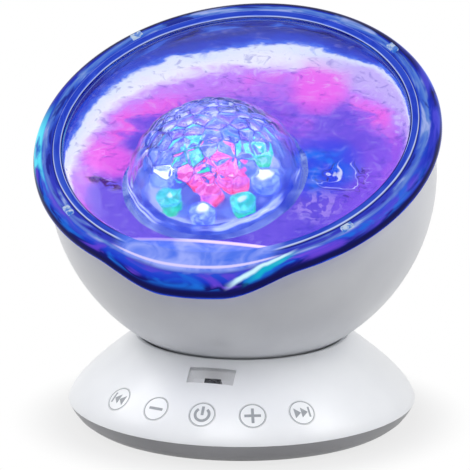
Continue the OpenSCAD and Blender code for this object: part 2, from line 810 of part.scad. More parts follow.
module deck() color(white) difference() {
    union() {
        in_head() translate([0, 0, -deck_depth]) cylinder(r = deck_r, h = deck_thick);
        at_dome() translate([0, 0, deck_top - over])
            tube(collar_r, collar_r - collar_wall, collar_height + over);
    }
    in_head() translate([0, 0, -deck_depth - over]) {
        around(deck_screw_angles, deck_screw_circle)
            cylinder(r = screw_hole_r + screw_clear, h = deck_thick + 2 * over);
        around(leg_angles, leg_circle) cylinder(r = screw_hole_r + screw_clear, h = deck_thick + 2 * over);
    }
    at_motor() translate([0, 0, -deck_depth - over]) {
        cylinder(r = shaft_hole_r, h = deck_thick + 2 * over);
        for (side = [-1, 1]) translate([0, side * motor_ear, 0])
            cylinder(r = motor_screw_r + thread_gap, h = deck_thick + 2 * over);
    }
    at_dome() translate([lead_hole_x, 0, -deck_depth - over])
        cylinder(r = lead_hole_r, h = deck_thick + 2 * over);
}

module deck_screws() color(steel) in_head() around(deck_screw_angles, deck_screw_circle)
    translate([0, 0, deck_top]) screw(screw_shank_r, deck_thick + boss_hole - 2, screw_head_r, screw_head_h);

module heat_sink() color(steel) at_dome() translate([0, 0, deck_top]) difference() {
    cylinder(r = sink_r, h = sink_thick);
    translate([lead_hole_x, 0, -over]) cylinder(r = lead_hole_r, h = sink_thick + 2 * over);
    for (i = [-2 : 2]) translate([-sink_r, i * fin_pitch - fin_gap / 2, -over])
        cube([sink_r + lead_hole_r, fin_gap, sink_thick / 2 + over]);
}

module lamp_board() color("white") at_dome() translate([0, 0, lamp_board_z])
    cylinder(r = sink_r, h = board_thick);

// Lamps on two circles: red on the inner one, and green between white and blue on the outer one
red_angles = [0, 90, 180, 270];
green_angles = [45, 135, 225, 315];
white_angles = [0, 180, 270];
blue_angles = [90];

module lamp_spots(angles, r) at_dome() translate([0, 0, lamp_z]) around(angles, r) children();

module lamp_chip() translate([-chip_side / 2, -chip_side / 2, 0]) cube([chip_side, chip_side, chip_height]);

module red_lamps() color("red") lamp_spots(red_angles, inner_lamps_r) lamp_chip();
module green_lamps() color("lime") lamp_spots(green_angles, outer_lamps_r) lamp_chip();
module white_lamps() color("ivory") lamp_spots(white_angles, outer_lamps_r) lamp_chip();
module blue_lamp() color("blue") lamp_spots(blue_angles, outer_lamps_r) lamp_chip();

lens_draft = 0.6;
lens_crown = 1.6;
chip_gap = 0.15;

// A tapered lens with a crowned top, hollowed over its chip
module lamp_lens() difference() {
    union() {
        cylinder(r1 = lens_r - lens_draft, r2 = lens_r, h = lens_height - lens_crown);
        translate([0, 0, lens_height - lens_crown]) intersection() {
            translate([0, 0, -2 * lens_r]) sphere(r = sqrt(5) * lens_r);
            cylinder(r = lens_r, h = lens_r);
        }
    }
    translate([-chip_side / 2 - chip_gap, -chip_side / 2 - chip_gap, -over])
        cube([chip_side + 2 * chip_gap, chip_side + 2 * chip_gap, chip_height + head_gap + over]);
}

module lamp_lenses() color(clear) {
    lamp_spots(red_angles, inner_lamps_r) lamp_lens();
    lamp_spots(concat(green_angles, white_angles, blue_angles), outer_lamps_r) lamp_lens();
}

// Motor and gears

shaft_in = 7;
shaft_end = 0.2;
pinion_short = 0.4;
motor_screw_head_r = 1.9;

module gear_motor() color(steel) at_motor() translate([0, 0, -deck_depth]) difference() {
    union() {
        translate([0, 0, -motor_length]) cylinder(r = motor_r, h = motor_length);
        translate([-ear_edge, -motor_ear - ear_edge, -ear_thick])
            cube([2 * ear_edge, 2 * (motor_ear + ear_edge), ear_thick]);
    }
    translate([0, 0, -shaft_in]) cylinder(r = shaft_r + running_gap, h = shaft_in + over);
    for (side = [-1, 1]) translate([0, side * motor_ear, -ear_thick - over])
        cylinder(r = motor_screw_r + thread_gap, h = ear_thick + 2 * over);
}

module motor_screws() color(steel) at_motor() for (side = [-1, 1])
    translate([0, side * motor_ear, -deck_depth - ear_thick]) rotate([180, 0, 0])
        screw(motor_screw_r, ear_thick + deck_thick, motor_screw_head_r, screw_head_h);

module motor_shaft() color(steel) at_motor() translate([0, 0, -deck_depth - shaft_in + shaft_end])
    cylinder(r = shaft_r, h = gear_top - pinion_short + deck_depth + shaft_in - 2 * shaft_end);

// Half the angle that an involute tooth takes at a radius, in degrees
pressure = 20;
function roll(angle) = tan(angle) - angle * PI / 180;
function tooth_half(teeth, r) = let (pitch_r = gear_module * teeth / 2, base = pitch_r * cos(pressure),
    half = (gear_module * PI / 2 - backlash) / 2 / pitch_r)
    (half + roll(pressure) - (r > base ? roll(acos(base / r)) : 0)) * 180 / PI;
function tooth_radii(teeth, steps) = let (pitch_r = gear_module * teeth / 2, tip = pitch_r + tooth_out,
    root = pitch_r - tooth_in, base = max(root, pitch_r * cos(pressure)))
    concat(base > root ? [root] : [], [for (i = [0 : steps]) base + (tip - base) * i / steps]);
function gear_outline(teeth, steps) = let (radii = tooth_radii(teeth, steps), n = len(radii))
    [for (k = [0 : teeth - 1]) for (j = [0 : 2 * n - 1]) let (r = radii[j < n ? j : 2 * n - 1 - j],
        angle = k * 360 / teeth + (j < n ? -1 : 1) * tooth_half(teeth, r)) r * [cos(angle), sin(angle)]];

// The ring has a tooth on the line between the axes, and the pinion a gap
module motor_pinion() color(white) at_motor() translate([0, 0, gear_z + pinion_short]) difference() {
    rotate([0, 0, 180 + 180 / pinion_teeth]) linear_extrude(height = gear_face - 2 * pinion_short)
        polygon(gear_outline(pinion_teeth, 3));
    translate([0, 0, -over]) cylinder(r = shaft_r + thread_gap / 2, h = gear_face + 2 * over);
}

module slip_ring() color(grey) at_dome() translate([0, 0, deck_top])
    tube(ring_root_r - screw_clear, collar_r + screw_clear, slip_thick);

module drive_ring() color(white) at_dome() translate([0, 0, gear_z]) difference() {
    linear_extrude(height = gear_face) polygon(gear_outline(ring_teeth, 2));
    translate([0, 0, -over]) cylinder(r = ring_bore_r, h = gear_face + 2 * over);
}

// Ripple dome: half an ellipsoid on a short straight foot, with rows of round ripples over its outside

dome_r = ring_root_r - 0.7;
dome_in_r = dome_r - dome_wall;
dome_foot = 1;
dome_sides = 72;
dome_rings = 20;
dome_inner_rings = 10;
ripple_lobes = 12;
ripple_rows = 5;

function ripple(side, up) = ripple_height * smooth(4 * up) * smooth(6 * (1 - up))
    * cos(ripple_lobes * side * 360 / dome_sides + 180 * floor(up * ripple_rows))
    * abs(sin(180 * ripple_rows * up));
// Point of an ellipsoid: side counts round, up runs from the foot at 0 to the top at 1
function dome_point(r, h, side, up) = let (a = side * 360 / dome_sides, e = 90 * up)
    [r * cos(e) * cos(a), r * cos(e) * sin(a), dome_foot + h * sin(e)];
function dome_edge(r) = [for (side = [0 : dome_sides - 1]) dome_point(r, 0, side, 0) - [0, 0, dome_foot]];
function dome_skin(r, h, rings, rippled) = [for (ring = [0 : rings - 1]) for (side = [0 : dome_sides - 1])
    let (up = ring / rings, swell = rippled ? ripple(side, up) : 0)
        dome_point(r + swell, h + swell, side, up)];

module ripple_dome() color(clear) at_dome() translate([0, 0, gear_top]) {
    n = dome_sides;
    height = dome_height - dome_foot;
    points = concat(
        dome_edge(dome_r), dome_skin(dome_r, height, dome_rings, true), [[0, 0, dome_height]],
        dome_edge(dome_in_r), dome_skin(dome_in_r, height - dome_wall, dome_inner_rings, false),
        [[0, 0, dome_height - dome_wall]]);
    top = (dome_rings + 1) * n;
    inner = top + 1;
    inner_top = inner + (dome_inner_rings + 1) * n;
    // Two triangles between neighbouring rings, facing out or in
    band = function (a, b, i, j) [[a + i, b + j, a + j], [a + i, b + i, b + j]];
    faces = [for (i = [0 : n - 1]) let (j = (i + 1) % n) each concat(
        [for (k = [0 : dome_rings - 1]) each band(k * n, (k + 1) * n, i, j)],
        [[top - n + i, top, top - n + j]],
        [for (k = [0 : dome_inner_rings - 1]) each band(inner + k * n, inner + (k + 1) * n, j, i)],
        [[inner_top - n + j, inner_top, inner_top - n + i]],
        band(inner, 0, i, j))];
    polyhedron(points = points, faces = faces);
}

// Reflector: a shallow shining bowl between the dome and the cover

ridge_r = radius_at(bowl_in, rim_height) - ridge_inset;
ridge_half = ridge_width / 2;
reflector_top = rim_height - spigot_depth - 0.5;
reflector_r = ridge_r - ridge_half;
reflector_in = ring_root_r + 1.2;
reflector_flat = ring_root_r + 5;
reflector_floor = gear_top + 0.8 + reflector_wall;
reflector_steps = 18;

// Curve of the reflector at a depth below its shining face
function reflector_curve(depth) = [for (i = [0 : reflector_steps]) let (u = 90 * i / reflector_steps)
    [reflector_flat + (reflector_r - reflector_flat + depth) * sin(u),
     reflector_top - (reflector_top - reflector_floor + depth) * cos(u)]];
function reversed(list) = [for (i = [len(list) - 1 : -1 : 0]) list[i]];

module reflector() color(white) {
    difference() {
        in_head() rotate_extrude() polygon(concat([[0, reflector_floor]], reflector_curve(0),
            reversed(reflector_curve(reflector_wall)), [[0, reflector_floor - reflector_wall]]));
        at_dome() translate([0, 0, reflector_floor - reflector_wall - over])
            cylinder(r = reflector_in, h = reflector_top - reflector_floor);
    }
    // Legs that stand on the deck and end inside the reflector's wall
    in_head() difference() {
        around(leg_angles, leg_circle) translate([0, 0, deck_top]) difference() {
            cylinder(r = leg_r, h = reflector_top - deck_top - 4);
            translate([0, 0, -over]) cylinder(r = screw_hole_r, h = leg_hole + over);
        }
        rotate_extrude() polygon(concat([[0, reflector_floor - reflector_wall / 2]],
            reflector_curve(reflector_wall / 2), [[0, reflector_top]]));
    }
}

module reflector_screws() color(steel) in_head() around(leg_angles, leg_circle) translate([0, 0, -deck_depth])
    rotate([180, 0, 0]) screw(screw_shank_r, deck_thick + leg_hole - 1, screw_head_r, screw_head_h);

// Lead from the motor to the header under the deck

module head_lead() color(black) at_dome() {
    level = -deck_depth - header_size[2];
    header_x = lead_hole_x + lead_hole_r;
    translate([header_x, -header_size[0] / 2, level]) cube([header_size[1], header_size[0], header_size[2]]);
    wire([[header_x + header_size[1] / 2, 0, level + header_size[2] / 2],
          [gear_center - motor_r - 4, 0, level], [gear_center - motor_r, 0, level]], lead_r);
}

// Clear cover: a domed lens with a flange, a ridge and a front lip

rim_out = radius_at(bowl_r, rim_height);
rim_in = radius_at(bowl_in, rim_height);
flange_r = rim_out + flange_reach;
flange_top = rim_height + flange_thick;
skirt_z = rim_height - skirt_drop;
edge_flat = 0.6;
edge_round = 4.2;
edge_start = flange_r - edge_round;
ridge_slope = 0.4;
cover_edge_r = ridge_r - ridge_half - 0.5;
lip_start = ridge_r + ridge_half + 0.9;
lip_blend = 22;
ridge_blend = 4;
cover_sides = 96;
cover_rings = 8;
clip_width = 2.4;
clip_angles = [-135, -47, 47, 135];

function lip_weight(angle) = smooth((lip_half_angle - abs(angle)) / lip_blend);
function ridge_weight(angle) = smooth((abs(angle) - ridge_gap_angle) / ridge_blend);
// The front lip shears the flange outwards and down
function sheared(p, k) = let (f = max(0, (p[0] - lip_start) / (flange_r - lip_start)))
    [p[0] + k * lip_reach * f, p[1] - k * lip_drop * f];
function lens_arc(r, top) = [for (i = [1 : cover_rings]) let (s = i / cover_rings)
    [s * r, top + cover_rise * (1 - s * s)]];
function edge_arc(k) = [for (u = [90 : -15 : 0]) sheared([edge_start + edge_round * cos(u),
    skirt_z + edge_flat + (flange_top - skirt_z - edge_flat) * sin(u)], k)];
function ridge_arc(g) = [
    [ridge_r - ridge_half, flange_top], [ridge_r - ridge_half + ridge_slope, flange_top + g * ridge_height],
    [ridge_r + ridge_half - ridge_slope, flange_top + g * ridge_height], [ridge_r + ridge_half, flange_top]];
// Inside of the skirt, which follows the bowl
function skirt_arc(z) = [for (w = [z, (z + rim_height) / 2, rim_height])
    [radius_at(bowl_r, w) + cover_gap, w]];
function spigot(r) = [[r, rim_height], [r, rim_height - spigot_depth],
    [r - spigot_wall, rim_height - spigot_depth], [r - spigot_wall, rim_height - seam_gap]];
// Section of the cover at an angle from the front, from the middle of its top round to that of its underside
function cover_section(angle) = let (k = lip_weight(angle)) concat(
    lens_arc(cover_edge_r, flange_top), ridge_arc(ridge_weight(angle)), [[lip_start, flange_top]],
    edge_arc(k), [sheared([flange_r, skirt_z], k)], skirt_arc(skirt_z - k * lip_drop),
    spigot(rim_in - cover_gap), reversed(lens_arc(cover_edge_r - edge_flat, flange_top - cover_wall)));

module cover_lens() color(clear) in_head() {
    n = cover_sides;
    sections = [for (i = [0 : n - 1]) cover_section(i < n / 2 ? i * 360 / n : (i - n) * 360 / n)];
    m = len(sections[0]);
    top = n * m;
    points = concat(
        [for (i = [0 : n - 1]) let (a = i * 360 / n - 90) for (p = sections[i])
            [p[0] * cos(a), p[0] * sin(a), p[1]]],
        [[0, 0, flange_top + cover_rise], [0, 0, flange_top - cover_wall + cover_rise]]);
    faces = [for (i = [0 : n - 1]) let (a = i * m, b = ((i + 1) % n) * m) each concat(
        [[top, b, a], [top + 1, a + m - 1, b + m - 1]],
        [for (j = [0 : m - 2]) each [[a + j, b + j, b + j + 1], [a + j, b + j + 1, a + j + 1]]])];
    polyhedron(points = points, faces = faces);
}

module cover_clips() color(clear) in_head() for (angle = clip_angles) rotate([0, 0, angle])
    translate([-clip_length / 2, -edge_start, flange_top]) cube([clip_length, clip_width, clip_height]);

base_tray();
rubber_feet();
base_cover();
tray_screws();
speaker_gasket();
speaker_frame();
speaker_cone();
speaker_magnet();
speaker_screws();
main_board();
board_chips();
board_screws();
power_socket();
audio_jack();
card_socket();
key_board();
key_screws();
tact_switches();
button_previous();
button_minus();
button_power();
button_plus();
button_next();
ir_window();
ir_shroud();
ir_receiver();
seat_ring();
tilt_stem();
tilt_saddle();
tilt_washers();
tilt_nut();
base_lead();
bowl();
deck();
deck_screws();
heat_sink();
lamp_board();
red_lamps();
green_lamps();
white_lamps();
blue_lamp();
lamp_lenses();
gear_motor();
motor_screws();
motor_shaft();
motor_pinion();
slip_ring();
drive_ring();
ripple_dome();
reflector();
reflector_screws();
head_lead();
cover_lens();
cover_clips();
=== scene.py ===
import json
import math
import random

import bpy
import numpy as np
from mathutils import Matrix, Vector
from mathutils.bvhtree import BVHTree


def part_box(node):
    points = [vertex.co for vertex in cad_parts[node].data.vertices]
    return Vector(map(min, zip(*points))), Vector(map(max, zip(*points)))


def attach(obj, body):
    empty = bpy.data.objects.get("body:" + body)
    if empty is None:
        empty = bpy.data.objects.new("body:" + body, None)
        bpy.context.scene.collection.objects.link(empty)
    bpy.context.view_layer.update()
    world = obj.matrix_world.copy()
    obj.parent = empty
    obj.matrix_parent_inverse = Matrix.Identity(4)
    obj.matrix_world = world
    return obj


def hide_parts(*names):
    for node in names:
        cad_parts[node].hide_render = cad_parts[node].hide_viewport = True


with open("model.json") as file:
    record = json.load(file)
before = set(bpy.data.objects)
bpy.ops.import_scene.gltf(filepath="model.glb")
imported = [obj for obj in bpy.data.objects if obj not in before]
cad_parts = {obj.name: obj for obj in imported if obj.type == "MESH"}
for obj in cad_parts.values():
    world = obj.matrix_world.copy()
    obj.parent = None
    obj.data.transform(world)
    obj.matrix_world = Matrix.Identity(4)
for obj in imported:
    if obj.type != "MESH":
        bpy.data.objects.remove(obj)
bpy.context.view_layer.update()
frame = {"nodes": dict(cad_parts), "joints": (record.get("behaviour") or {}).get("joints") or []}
nodes = frame["nodes"]
joints = {joint["name"]: joint for joint in frame["joints"]}

# Tray, rubber feet and screws: the closed underside of the base. The tray is a grey moulding,
# satin on its sides, with feet pressed into pockets and four steel screws up into the cover.


class Value:
    """A socket in a material; arithmetic on it adds Math nodes."""

    def __init__(self, socket):
        self.socket = socket

    def node(self, kind, settings, inputs, output=0):
        """Adds a node, sets its settings and then its sockets, and gives one of its outputs."""
        tree = self.socket.id_data
        made = tree.nodes.new("ShaderNode" + kind)
        for name, setting in settings.items():
            if name == "stops":
                ramp = made.color_ramp
                while len(ramp.elements) < len(setting):
                    ramp.elements.new(0.5)
                for element, (place, colour) in zip(ramp.elements, setting):
                    element.position = place
                    element.color = colour
            else:
                setattr(made, name, setting)
        for name, value in inputs.items():
            if isinstance(value, Value):
                tree.links.new(value.socket, made.inputs[name])
            else:
                made.inputs[name].default_value = value
        return Value(made.outputs[output])

    def math(self, operation, first, second=0.0):
        return self.node("Math", {"operation": operation}, {0: first, 1: second})

    def __add__(self, other):
        return self.math("ADD", self, other)

    __radd__ = __add__

    def __sub__(self, other):
        return self.math("SUBTRACT", self, other)

    def __rsub__(self, other):
        return self.math("SUBTRACT", other, self)

    def __mul__(self, other):
        return self.math("MULTIPLY", self, other)

    __rmul__ = __mul__

    def __truediv__(self, other):
        return self.math("DIVIDE", self, other)

    def __rtruediv__(self, other):
        return self.math("DIVIDE", other, self)

    def __abs__(self):
        return self.math("ABSOLUTE", self)

    def step(self, low, high):
        """0 below low, 1 above high, smooth between."""
        return self.node("MapRange", {"interpolation_type": "SMOOTHSTEP"},
                         {"Value": self, "From Min": low, "From Max": high})

    def mix(self, first, second):
        """A colour between two, by this value."""
        return self.node("Mix", {"data_type": "RGBA"}, {0: self, 6: first, 7: second}, 2)

    def noise(self, size, detail=2.0, warp=0.0):
        """Noise from 0 to 1 whose lumps are about size metres across, at this place."""
        return self.node("TexNoise", {}, {"Vector": self, "Scale": 1 / size, "Detail": detail,
                                          "Distortion": warp})

    def feed(self, shader, socket):
        """Links it to a socket of a shader."""
        self.socket.id_data.links.new(self.socket, shader.inputs[socket])


def rgb(red, green, blue):
    """A colour from screen values of 0 to 255."""
    def linear(x):
        x /= 255
        return x / 12.92 if x <= 0.04045 else ((x + 0.055) / 1.055) ** 2.4
    return (linear(red), linear(green), linear(blue), 1.0)


def finish(name, constants):
    """A new material: itself, its shader with constants set, and the place on the surface in metres."""
    made = bpy.data.materials.new(name)
    made.use_nodes = True
    shader = made.node_tree.nodes["Principled BSDF"]
    for socket, constant in constants.items():
        shader.inputs[socket].default_value = constant
    coordinates = made.node_tree.nodes.new("ShaderNodeTexCoord")
    return made, shader, Value(coordinates.outputs["Object"])


grain_size, grain_depth = 0.0006, 0.00001


def moulded(name, dark, light, gloss, coat=0.0):
    """Moulded plastic: faint flow clouds in the colour, patches a little duller from handling, fine grain."""
    made, shader, place = finish(name, {"Coat Weight": coat, "Coat Roughness": 0.06})
    place.noise(0.03, 3.0).step(0.25, 0.75).mix(dark, light).feed(shader, "Base Color")
    (gloss + 0.08 * place.noise(0.012, 4.0).step(0.35, 0.8)).feed(shader, "Roughness")
    grain = place.noise(grain_size, 3.0)
    bump = place.node("Bump", {}, {"Height": grain, "Distance": grain_depth, "Strength": 0.5})
    bump.feed(shader, "Normal")
    return made


def metal(name, dark, light, gloss):
    """Bare metal: fine streaks in its gloss and colour."""
    made, shader, place = finish(name, {"Metallic": 1.0})
    drawn = place.node("VectorMath", {"operation": "MULTIPLY"}, {0: place, 1: (1.0, 1.0, 12.0)})
    streak = drawn.noise(0.004, 4.0)
    streak.mix(dark, light).feed(shader, "Base Color")
    (gloss + 0.2 * streak).feed(shader, "Roughness")
    return made


def dress(material, *names):
    """Puts a material on CAD nodes."""
    for name in names:
        nodes[name].data.materials.clear()
        nodes[name].data.materials.append(material)


tray_plastic = moulded("tray plastic", rgb(158, 158, 161), rgb(171, 171, 174), 0.38)
rubber = moulded("foot rubber", rgb(28, 28, 29), rgb(40, 40, 42), 0.75)
screw_steel = metal("screw steel", rgb(150, 152, 155), rgb(200, 202, 205), 0.25)
dress(tray_plastic, "base_tray")
dress(rubber, "rubber_feet")
dress(screw_steel, "tray_screws", "speaker_screws", "board_screws", "key_screws", "deck_screws",
      "motor_screws", "reflector_screws")

# Speaker: a pressed steel frame on a foam gasket, a dark paper cone and a ferrite magnet.
# It fires down through the tray's slots and is held by three screws.

paper, paper_shader, paper_place = finish("cone paper", {"Sheen Weight": 0.2})
paper_fibre = paper_place.noise(0.0008, 5.0, 1.5)
paper_fibre.mix(rgb(30, 30, 32), rgb(62, 62, 64)).feed(paper_shader, "Base Color")
(0.75 + 0.2 * paper_fibre).feed(paper_shader, "Roughness")
foam = moulded("gasket foam", rgb(36, 36, 38), rgb(58, 58, 60), 0.85)
dress(foam, "speaker_gasket")
dress(paper, "speaker_cone")
dress(metal("frame steel", rgb(118, 120, 124), rgb(160, 162, 166), 0.4), "speaker_frame")
dress(metal("magnet ferrite", rgb(60, 60, 63), rgb(84, 84, 88), 0.55), "speaker_magnet")

# Circuit boards: glass cloth under green lacquer, with black chips, switches and leads and pressed steel
# sockets. The main board lies over the tray on posts, the key board hangs under the slope.

board, board_shader, board_place = finish("board lacquer", {"Coat Weight": 0.4, "Coat Roughness": 0.15})
board_weave = board_place.node("TexWave", {"bands_direction": "X"}, {"Vector": board_place, "Scale": 600.0})
board_cross = board_place.node("TexWave", {"bands_direction": "Y"}, {"Vector": board_place, "Scale": 600.0})
(0.5 * (board_weave + board_cross)).mix(rgb(16, 84, 52), rgb(30, 110, 70)).feed(board_shader, "Base Color")
(0.3 + 0.2 * board_place.noise(0.004)).feed(board_shader, "Roughness")
chip_resin = moulded("chip resin", rgb(24, 24, 26), rgb(38, 38, 41), 0.45)
socket_steel = metal("socket steel", rgb(160, 162, 166), rgb(205, 207, 210), 0.22)
dress(board, "main_board", "key_board")
dress(chip_resin, "board_chips", "tact_switches", "audio_jack", "base_lead", "head_lead")
dress(socket_steel, "power_socket", "card_socket")

# Base cover: the sloped white shell with the dish for the ball, moulded in glossy white plastic
# and screwed to the tray from below.

cover_plastic = moulded("cover plastic", rgb(235, 237, 240), rgb(241, 243, 245), 0.3, 0.1)
dress(cover_plastic, "base_cover")

# Keys: five round caps of the same white, level with the slope, with pad-printed grey rings and signs.
# Each print is a thin film of ink that follows the cap's face.

key_plastic = moulded("key plastic", rgb(235, 237, 240), rgb(242, 244, 245), 0.28, 0.1)
ink, ink_shader, ink_place = finish("key ink", {})
ink_place.noise(0.0015, 4.0).mix(rgb(136, 141, 146), rgb(164, 168, 173)).feed(ink_shader, "Base Color")
(0.4 + 0.15 * ink_place.noise(0.001)).feed(ink_shader, "Roughness")

MM = 0.001
ink_film = 0.05 * MM
ring_out, ring_in = 4.7, 4.42
sign_stroke = 1.05
pointer_length, pointer_half = 2.5, 2.05


def bar(width, height, x=0.0, y=0.0):
    """Corners of an upright rectangle, from its lower left."""
    return [(x - width / 2, y - height / 2), (x + width / 2, y - height / 2),
            (x + width / 2, y + height / 2), (x - width / 2, y + height / 2)]


def arc(outer, inner, start, end, steps):
    """Short quads along an arc, its angles in degrees from the right, counterclockwise."""
    quads = []
    for i in range(steps):
        a, b = (math.radians(start + (end - start) * (i + k) / steps) for k in (0, 1))
        quads.append([(inner * math.cos(a), inner * math.sin(a)), (outer * math.cos(a), outer * math.sin(a)),
                      (outer * math.cos(b), outer * math.sin(b)), (inner * math.cos(b), inner * math.sin(b))])
    return quads


def pointer(x, way):
    """A solid triangle with its base at x, pointing left or right."""
    tip = (x + way * pointer_length, 0.0)
    return [(x, -pointer_half * way), tip, tip, (x, pointer_half * way)]


signs = {
    "previous": [bar(0.7, 4.1, -2.75), pointer(0.3, -1), pointer(2.9, -1)],
    "minus": [bar(5.6, sign_stroke)],
    "power": arc(3.1, 3.1 - sign_stroke, 128, 412, 40) + [bar(sign_stroke, 3.6, 0.0, 1.45)],
    "plus": [bar(6.0, sign_stroke), bar(sign_stroke, 2.5, 0.0, 1.73), bar(sign_stroke, 2.5, 0.0, -1.73)],
    "next": [bar(0.7, 4.1, 2.75), pointer(-0.3, 1), pointer(-2.9, 1)],
}
sign_cells = 8

for key, sign in signs.items():
    cap = nodes["button_" + key]
    dress(key_plastic, "button_" + key)
    normal = -Vector(joints["press_" + key]["axis"]).normalized()
    across = Vector((0, 0, 1)).cross(normal).normalized()
    upward = normal.cross(across)
    corners = [v.co for v in cap.data.vertices]
    middle = sum((way * (min(c.dot(way) for c in corners) + max(c.dot(way) for c in corners)) / 2
                  for way in (across, upward)), Vector())
    top = max(c.dot(normal) for c in corners)
    face = BVHTree.FromPolygons(corners, [tuple(p.vertices) for p in cap.data.polygons])
    points, faces = [], []
    for quad in sign + arc(ring_out, ring_in, 0, 360, 72):
        start = len(points)
        for i in range(sign_cells + 1):
            for j in range(sign_cells + 1):
                s, t = i / sign_cells, j / sign_cells
                low = Vector(quad[0]).lerp(Vector(quad[1]), s)
                high = Vector(quad[3]).lerp(Vector(quad[2]), s)
                x, y = low.lerp(high, t) * MM
                over = middle + across * x + upward * y + normal * (top + MM)
                points.append(face.ray_cast(over, -normal)[0])
        row = sign_cells + 1
        faces += [(start + i * row + j, start + (i + 1) * row + j, start + (i + 1) * row + j + 1,
                   start + i * row + j + 1) for i in range(sign_cells) for j in range(sign_cells)]
    mesh = bpy.data.meshes.new("print_" + key)
    mesh.from_pydata(points, [], faces)
    print_film = bpy.data.objects.new("print_" + key, mesh)
    bpy.context.scene.collection.objects.link(print_film)
    mesh.materials.append(ink)
    weld = print_film.modifiers.new("joined", "WELD")
    weld.merge_threshold = 0.002 * MM
    film = print_film.modifiers.new("film", "SOLIDIFY")
    film.thickness = 2 * ink_film
    film.offset = 0.0
    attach(print_film, key + "_key")

# Remote window: a smoky clear pane let into the slope, a pale shroud behind it and the black receiver.
# The pane snaps in from inside; the shroud glows faintly with painted light that lifts it out of its shade.

smoke, smoke_shader, smoke_place = finish("smoky pane", {"Alpha": 0.12, "Roughness": 0.05})
smoke_place.noise(0.01).mix(rgb(120, 122, 128), rgb(150, 152, 158)).feed(smoke_shader, "Base Color")
dress(smoke, "ir_window")
# Painted light: the shroud's emission is a glow, not a lamp
shroud, shroud_shader, shroud_place = finish(
    "shroud plastic painted glow", {"Emission Color": rgb(222, 223, 226), "Emission Strength": 0.28})
shroud_place.noise(0.006, 3.0).mix(rgb(206, 207, 210), rgb(222, 223, 226)).feed(shroud_shader, "Base Color")
(0.4 + 0.1 * shroud_place.noise(0.004)).feed(shroud_shader, "Roughness")
dress(shroud, "ir_shroud")
dress(moulded("receiver resin", rgb(6, 6, 8), rgb(16, 16, 19), 0.1), "ir_receiver")

# Tilt joint: a friction ring in the dish, a hollow stem, a saddle inside the bowl, spring washers and a nut.
# Ring and saddle are pale nylon, the rest is turned or pressed steel.

nylon = moulded("pale nylon", rgb(196, 197, 200), rgb(212, 213, 216), 0.5)
stem_steel = metal("stem steel", rgb(140, 142, 146), rgb(190, 192, 196), 0.3)
dress(nylon, "seat_ring", "tilt_saddle")
dress(stem_steel, "tilt_stem", "tilt_washers", "tilt_nut")

# Bowl: the ball-shaped shell of the head, moulded in glossy white plastic. The stem comes in through a slot
# at its foot, and the deck is screwed to posts inside it.

dress(moulded("bowl plastic", rgb(218, 220, 225), rgb(226, 228, 232), 0.3, 0.1), "bowl")

# Deck and lamp board: the flat deck in the bowl carries an aluminium sink, and on that the lamp board with
# lamps in red, green, white and blue. Deck and board glow blue with painted light that stands in for the
# lamps' light, with a painted highlight ring, broken, round the lamps.

head_center = Vector(joints["head_tilt"]["pos_m"])
head_axis = Vector(joints["dome_spin"]["axis"])
head_back = head_axis.cross(Vector((1, 0, 0)))
dome_shift = Vector(joints["dome_spin"]["pos_m"]).x


def in_head(place):
    """Place in the head in mm: to the right, to the back and up its axis, as three values."""
    from_center = place.node("VectorMath", {"operation": "SUBTRACT"}, {0: place, 1: head_center})
    return [place.node("VectorMath", {"operation": "DOT_PRODUCT"}, {0: from_center, 1: way}, 1) / MM
            for way in (Vector((1, 0, 0)), head_back, head_axis)]


def lit(name, strength, constants):
    """A finish that shines by itself: its base is dark, and its emission shows its colours; on all but the
    lamps it is painted light.
    """
    return finish(name, {"Emission Strength": strength, "Base Color": rgb(20, 20, 40), **constants})


sink_metal = metal("sink aluminium", rgb(165, 168, 172), rgb(205, 208, 212), 0.3)
dress(sink_metal, "heat_sink")
glow, glow_shader, glow_place = lit("lit lamp board", 1.0, {"Roughness": 0.4})
highlight_ring_radius = 23.0
glow_right, glow_back = in_head(glow_place)[:2]
glow_right = glow_right - dome_shift / MM
glow_out = glow_right.math("SQRT", glow_right * glow_right + glow_back * glow_back)
glow_clouds = glow_place.noise(0.012, 3.0, 0.6).step(0.3, 0.7)
glow_tint = glow_clouds.mix(rgb(22, 58, 200), rgb(116, 150, 246))
# Painted highlight: a pale broken ring of light round the lamps
highlight_ring = (1 - abs(glow_out - highlight_ring_radius).step(1.0, 4.0)) * glow_place.noise(0.02, 2.0).step(0.4, 0.55)
highlight_ring.mix(glow_tint, rgb(206, 216, 255)).feed(glow_shader, "Emission Color")
dress(glow, "lamp_board", "deck")

lamp_colours = {
    "red_lamps": (rgb(255, 40, 80), rgb(255, 150, 170)),
    "green_lamps": (rgb(0, 210, 130), rgb(150, 255, 225)),
    "white_lamps": (rgb(235, 235, 255), rgb(255, 255, 255)),
    "blue_lamp": (rgb(30, 80, 255), rgb(140, 190, 255)),
}
for lamp, (rim_colour, heart_colour) in lamp_colours.items():
    chip, chip_shader, chip_place = lit(lamp.replace("_", " "), 1.4, {"Roughness": 0.3})
    chip_clouds = chip_place.noise(0.003, 2.0).step(0.35, 0.65)
    chip_clouds.mix(rim_colour, heart_colour).feed(chip_shader, "Emission Color")
    dress(chip, lamp)

# Lamp lenses: clear tapered caps of moulded acrylic, set on the board, one over each lamp.
# Each glows with painted light in its lamp's colour, fainter at its top, with painted glints and a bright
# heart.

red_out, green_out, white_out = 8.0, 13.8, 19.5
lens_glass, lens_shader, lens_place = finish(
    "lamp lens", {"Transmission Weight": 0.15, "Roughness": 0.1, "IOR": 1.49, "Emission Strength": 1.3})
lens_right, lens_back, lens_up = in_head(lens_place)
lens_right = lens_right - dome_shift / MM
lens_far = lens_right.math("MAXIMUM", abs(lens_right), abs(lens_back))
lens_near = lens_right.math("MINIMUM", abs(lens_right), abs(lens_back))


def lens_heart(far, near, inner=18.0, outer=40.0):
    """1 over the lamps so far from the board's two middle lines, fading from inner to outer square mm."""
    off_far, off_near = lens_far - far, lens_near - near
    return 1 - (off_far * off_far + off_near * off_near).step(inner, outer)
